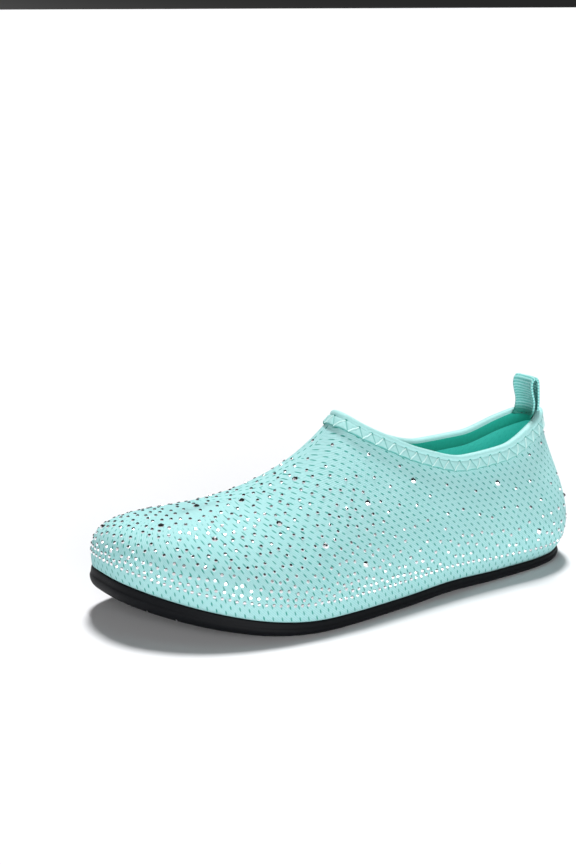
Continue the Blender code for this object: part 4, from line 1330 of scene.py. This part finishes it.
def ring_stud(bm, station, side, outer, inner):
    """One raised ring with a softened edge, which follows the underside."""
    top = FIELD_DEPTH + LUG_ROOT
    section = (
        (outer, top), (outer, RING_BEVEL), (outer - RING_BEVEL, 0.0),
        (inner + RING_BEVEL, 0.0), (inner, RING_BEVEL), (inner, top),
    )
    angle = np.arange(RING_SIDES + 1) * math.tau / RING_SIDES
    points = []
    for radius, height in section + section[:1]:
        s, x = station + radius * np.sin(angle), side + radius * np.cos(angle)
        points.append(np.column_stack((s, x, underside(s) + height)))
    part = sheet(place(np.array(points)), np.zeros((len(points), len(angle), 2)))
    close(part)
    draft = to_mesh("ring", part)
    bm.from_mesh(draft)
    bpy.data.meshes.remove(draft)


studs = bmesh.new()
studs.from_mesh(cut_sole)
bpy.data.meshes.remove(cut_sole)
hexagons = 0
for s, x in hex_centres():
    outline = polygon(s, x, HEX_WIDTH / math.sqrt(3.0), 6, math.radians(HEX_TURN))
    prism(studs, outline, 0.0, FIELD_DEPTH + LUG_ROOT, taper=HEX_TAPER)
    hexagons += 1
for s, x, radius in RINGS:
    outer = radius
    while outer > RING_WALL + RING_GAP + RING_CORE:
        ring_stud(studs, s, x, outer, outer - RING_WALL)
        outer -= RING_WALL + RING_GAP
        if radius < RINGS[0][2]:
            break
    prism(studs, polygon(s, x, outer, RING_SIDES), CORE_FACE, FIELD_DEPTH + LUG_ROOT, taper=CORE_TAPER)
    for dot_s, dot_x in [(s, x), *polygon(s, x, DOT_RING * outer, 6)]:
        centre = Vector(place((dot_s, dot_x, float(underside(dot_s)) + DOT_MIDDLE)))
        bmesh.ops.create_icosphere(studs, subdivisions=1, radius=DOT * MM, matrix=Matrix.Translation(centre))
bmesh.ops.recalc_face_normals(studs, faces=studs.faces[:])
sole = piece("rubber_sole", studs, (rubber,), replaces="outsole")
sole.data.set_sharp_from_angle(angle=math.radians(SOLE_SHARP))
print("hexagons:", hexagons, "ring studs:", len(RINGS))

# %% [markdown]
# ## The insole
#
# A thin foam board with a dark teal brushed cloth on it lies loose in the shoe, with a soft edge.

# %% Insole
INSOLE_INSET = 4.4
INSOLE_THICKNESS = 3.2
INSOLE_PAIRS = 90
INSOLE_EDGE = (  # inset, share of the thickness
    (0.8, 0.0), (0.15, 0.12), (0.0, 0.4), (0.1, 0.7), (0.5, 0.93), (1.2, 1.0),
)
PILE_PER_METRE = 1500.0
INSOLE_SHARP = 50.0
rings = []
for inset, share in INSOLE_EDGE:
    ring = closed_ring(INSOLE_INSET + inset, INSOLE_PAIRS)
    floor_height = underside(ring[:, 0]) + FOOTBED_THICKNESS + PIECE_GAP
    rings.append(np.column_stack((ring, floor_height + share * INSOLE_THICKNESS)))
rings = np.array(rings)
rings = np.concatenate((rings, rings[:, :1]), axis=1)
bm = stack(rings, np.zeros((*rings.shape[:2], 2)))
# Brushed polyester: its short pile breaks the light up, so that it has no highlight at all.
brushed, shader = new_material("teal_brushed_cloth", Roughness=0.92, Sheen_Weight=0.2, IOR=1.46)
spot = add(brushed, "ShaderNodeTexCoord").outputs["Object"]
pile = add(brushed, "ShaderNodeTexNoise", {
    "Vector": spot, "Scale": PILE_PER_METRE, "Detail": 2.0,
}).outputs["Fac"]
tone = add(brushed, "ShaderNodeMix", {
    0: pile, 6: linear("#2B9A8E"), 7: linear("#157065"),
}, data_type="RGBA").outputs[2]
bump = add(brushed, "ShaderNodeBump", {"Height": pile, "Distance": 0.2 * MM, "Strength": 0.8}).outputs[0]
feed(brushed, shader, Base_Color=tone, Normal=bump)
insole = piece("cloth_insole", bm, (brushed,), replaces="insole")
insole.data.set_sharp_from_angle(angle=math.radians(INSOLE_SHARP))

# %% [markdown]
# ## The stones
#
# Flat-backed glass stones with a foil behind them are glued on by heat. A close row follows the
# sole's edge, with looser ones above it towards the toe. More are strewn higher up, close at the
# toe and thin towards the heel and the collar, with a few large ones among them. Strewing works
# like throwing darts: a dart that lands too near another stone is thrown away, and how near is
# too near depends on the spot.

# %% Places for the stones
ROWS = (  # height above the sole, spacing, station from which the row runs to the toe, scatter
    (7.6, 3.45, -10.0, 0.12), (10.7, 3.7, 92.0, 0.5), (14.0, 4.2, 128.0, 0.9),
)
ROW_START = 25.0  # the stones of a row begin to come in over this distance
ROW_SPACING = ((20.0, 110.0), (1.15, 1.0))  # stations, share of the row's spacing
ROW_UNEVEN = (0.03, 0.1)  # unevenness of the spacing, and what is added for the row's scatter
TOE_SHARE = ((95.0, 140.0), (0.0, 1.0))  # stations, how far the toe's spacing holds
SIDE_SPACING = ((9.0, 16.0, 26.0, 40.0, 60.0), (3.6, 4.6, 7.0, 9.5, 12.0))  # heights, distances
TOE_SPACING = ((9.0, 24.0, 45.0, 80.0), (3.4, 3.9, 4.2, 4.8))  # heights, distances
THROAT_SPACING = ((18.0, 40.0), (12.0, 0.0))  # distances from the collar and between stones
THROAT_FROM = 105.0
DARTS = 24000
ABOVE_ROW = 2.4
BARE_UNDER_TAPE = 12.0
BARE_AHEAD = 0.03  # share of the ribs, ahead of the collar, that are also bare at the top
LARGE_APART = 21.0
LARGE_ABOVE = 15.0
LARGE_CHANCE = 0.13
luck = np.random.default_rng(11)
rib_lengths = np.array([along(rib) for rib in ribs])
rib_share = 1.0 - np.abs(np.linspace(-1.0, 1.0, len(ribs)))
collar_line = ribs[rib_share < COLLAR_SHARE, -1]


def rib_point(at, height):
    """Point on the knit at a fractional rib number and a height along that rib."""
    i = int(at) % (len(ribs) - 1)
    t = at - int(at)
    ends = []
    for rib, up in ((ribs[i], rib_lengths[i]), (ribs[i + 1], rib_lengths[i + 1])):
        ends.append(np.array([np.interp(height, up, rib[:, k]) for k in range(3)]))
    return ends[0] * (1 - t) + ends[1] * t


def stone_spacing(point, height):
    """Least distance between stones there."""
    station = point[0]
    toe = np.interp(station, *TOE_SHARE)
    spacing = np.interp(height, *SIDE_SPACING) * (1 - toe) + np.interp(height, *TOE_SPACING) * toe
    below_collar = np.min(np.linalg.norm(collar_line - point, axis=1))
    near_throat = np.interp(below_collar, *THROAT_SPACING) * (station > THROAT_FROM)
    return max(spacing, near_throat)


def stone_row(height, spacing, start, scatter):
    """Stones along the sole's edge at one height."""
    count = len(ribs) - 1
    line = np.array([rib_point(i, height) for i in range(count)])
    length = along(np.vstack((line, line[:1])))
    at, row = 0.5 * spacing, []
    while at < length[-1] - 0.5 * spacing:
        rib = float(np.interp(at, length, np.arange(count + 1)))
        point = rib_point(rib % count, height + luck.normal(0.0, scatter))
        if point[0] > start + luck.random() * ROW_START:
            row.append(point)
        step = spacing * np.interp(point[0], *ROW_SPACING)
        at += step * luck.normal(1.0, ROW_UNEVEN[0] + ROW_UNEVEN[1] * scatter)
    return row


small, large = [], []
for settings in ROWS:
    small += stone_row(*settings)
in_rows = len(small)
lowest = ROWS[0][0] + ABOVE_ROW
for _ in range(DARTS):
    rib = luck.random() * (len(ribs) - 1)
    top = rib_lengths[int(rib), -1]
    share = 1.0 - abs(rib / (len(ribs) - 1) * 2.0 - 1.0)
    height = lowest + luck.random() * (top - lowest)
    if height > top - BARE_UNDER_TAPE and share < COLLAR_SHARE + BARE_AHEAD:
        continue
    point = rib_point(rib, height)
    taken = np.array(small + large)
    if np.min(np.linalg.norm(taken - point, axis=1)) < stone_spacing(point, height):
        continue
    far = not large or np.min(np.linalg.norm(np.array(large) - point, axis=1)) > LARGE_APART
    if far and height > LARGE_ABOVE and luck.random() < LARGE_CHANCE:
        large.append(point)
    else:
        small.append(point)
print("stones:", in_rows, "in the rows,", len(small) - in_rows, "small and", len(large), "large above them")

# %% [markdown]
# Each stone is a low eight-sided cut gem: a girdle that slopes a little, a crown and a flat
# table. The small ones have a broad table. The large ones have a small one above a tall crown,
# so that several of their facets show at once.

# %% Cut stones
SMALL_STONE = 0.98  # radius
LARGE_STONE = 1.75
SMALL_CUT = ((1.0, 0.84, 0.30), (0.84, 0.56, 0.20))  # lower and upper radius, height; in radii
LARGE_CUT = ((1.0, 0.86, 0.22), (0.86, 0.34, 0.34))
SIDES = 8
SINK = 0.06
STONE_UNEVEN = 0.03


def gem(bm, point, radius, cut, turn):
    """A low cut gem on the knit at a point."""
    spot, normal = upper_faces.find_nearest(Vector(place(point)))[:2]
    tilt = normal.to_track_quat("Z", "Y").to_matrix().to_4x4()
    base = -SINK
    for low, high, depth in cut:
        middle = Matrix.Translation((0.0, 0.0, (base + 0.5 * depth) * radius * MM))
        bmesh.ops.create_cone(
            bm, cap_ends=True, segments=SIDES, radius1=low * radius * MM, radius2=high * radius * MM,
            depth=depth * radius * MM,
            matrix=Matrix.Translation(spot) @ tilt @ Matrix.Rotation(turn, 4, "Z") @ middle,
        )
        base += depth


# The foil sends nearly all light back, so each facet is a small mirror, white or black by where
# it faces.
stone = new_material("foiled_glass_stone", Base_Color=linear("#FBFAFD"), Metallic=1.0, Roughness=0.10)[0]
KINDS = (("small_stones", small, SMALL_STONE, SMALL_CUT), ("large_stones", large, LARGE_STONE, LARGE_CUT))
for name, places, radius, cut in KINDS:
    bm = bmesh.new()
    for point in places:
        gem(bm, point, radius * luck.normal(1.0, STONE_UNEVEN), cut, luck.random() * math.tau)
    piece(name, bm, (stone,), smooth=False)

# %% [markdown]
# ## Light and floor
#
# The photograph is a packshot: a white floor in a tent of light. The walls of the tent are bright
# and its roof is dark, and the bright part reaches higher in front of the shoe than behind it. So
# the cloth's sides are lit evenly, and a stone shows white where it looks at a wall or the floor
# and black where it looks up. A soft sun from behind burns the floor out to white and throws a
# short shadow forwards. A weaker one low in front lights the outer side and rounds the toe.

# %% Floor and lights
FLOOR_HALF = 40.0  # metres, so that no edge of the floor shows
bm = bmesh.new()
bmesh.ops.create_grid(bm, x_segments=1, y_segments=1, size=FLOOR_HALF)
floor = put("floor", to_mesh("floor", bm))
# Matt paper, light enough to burn out in the sun and to keep a soft shadow.
paper = new_material("white_paper", Base_Color=linear("#E3E3E5"), Roughness=1.0)[0]
floor.data.materials.append(paper)

world = bpy.data.worlds.new("tent")
world.use_nodes = True
bpy.context.scene.world = world
direction = add(world, "ShaderNodeTexCoord").outputs["Generated"]
rise = add(world, "ShaderNodeSeparateXYZ", {0: direction}).outputs[2]
WALL_TOP, ROOF_FROM = 0.15, 0.45  # sines of the heights where the wall ends and the roof begins
WALL_LIGHT, ROOF_LIGHT = 0.70, 0.02
TENT_LEAN = 0.45  # how far the wall reaches up in front, and down behind
TENT_FRONT = view_axes(42.0, 0.0)[2]
front = add(world, "ShaderNodeVectorMath", {0: direction, 1: tuple(TENT_FRONT)},
            operation="DOT_PRODUCT").outputs["Value"]
leaning = add(world, "ShaderNodeMath", {0: front, 1: -TENT_LEAN, 2: rise},
              operation="MULTIPLY_ADD").outputs[0]
tent_light = add(world, "ShaderNodeMapRange", {
    "Value": leaning, "From Min": WALL_TOP, "From Max": ROOF_FROM, "To Min": WALL_LIGHT, "To Max": ROOF_LIGHT,
}, interpolation_type="SMOOTHSTEP").outputs[0]
background = world.node_tree.nodes["Background"]
background.inputs["Color"].default_value = linear("#FFFFFF")
feed(world, background, Strength=tent_light)

SUNS = (  # name, strength, apparent size in degrees, azimuth, elevation
    ("back_sun", 4.0, 11.0, 236.0, 61.0),
    ("front_sun", 1.55, 30.0, 74.0, 13.0),
)
for name, power, size, azimuth, elevation in SUNS:
    lamp = bpy.data.lights.new(name, "SUN")
    lamp.energy, lamp.angle = power, math.radians(size)
    light = put(name, lamp)
    light.matrix_world = Matrix(view_axes(azimuth, elevation)).transposed().to_4x4()
bpy.context.scene.view_settings.view_transform = "Standard"
print("suns:", [row[0] for row in SUNS])
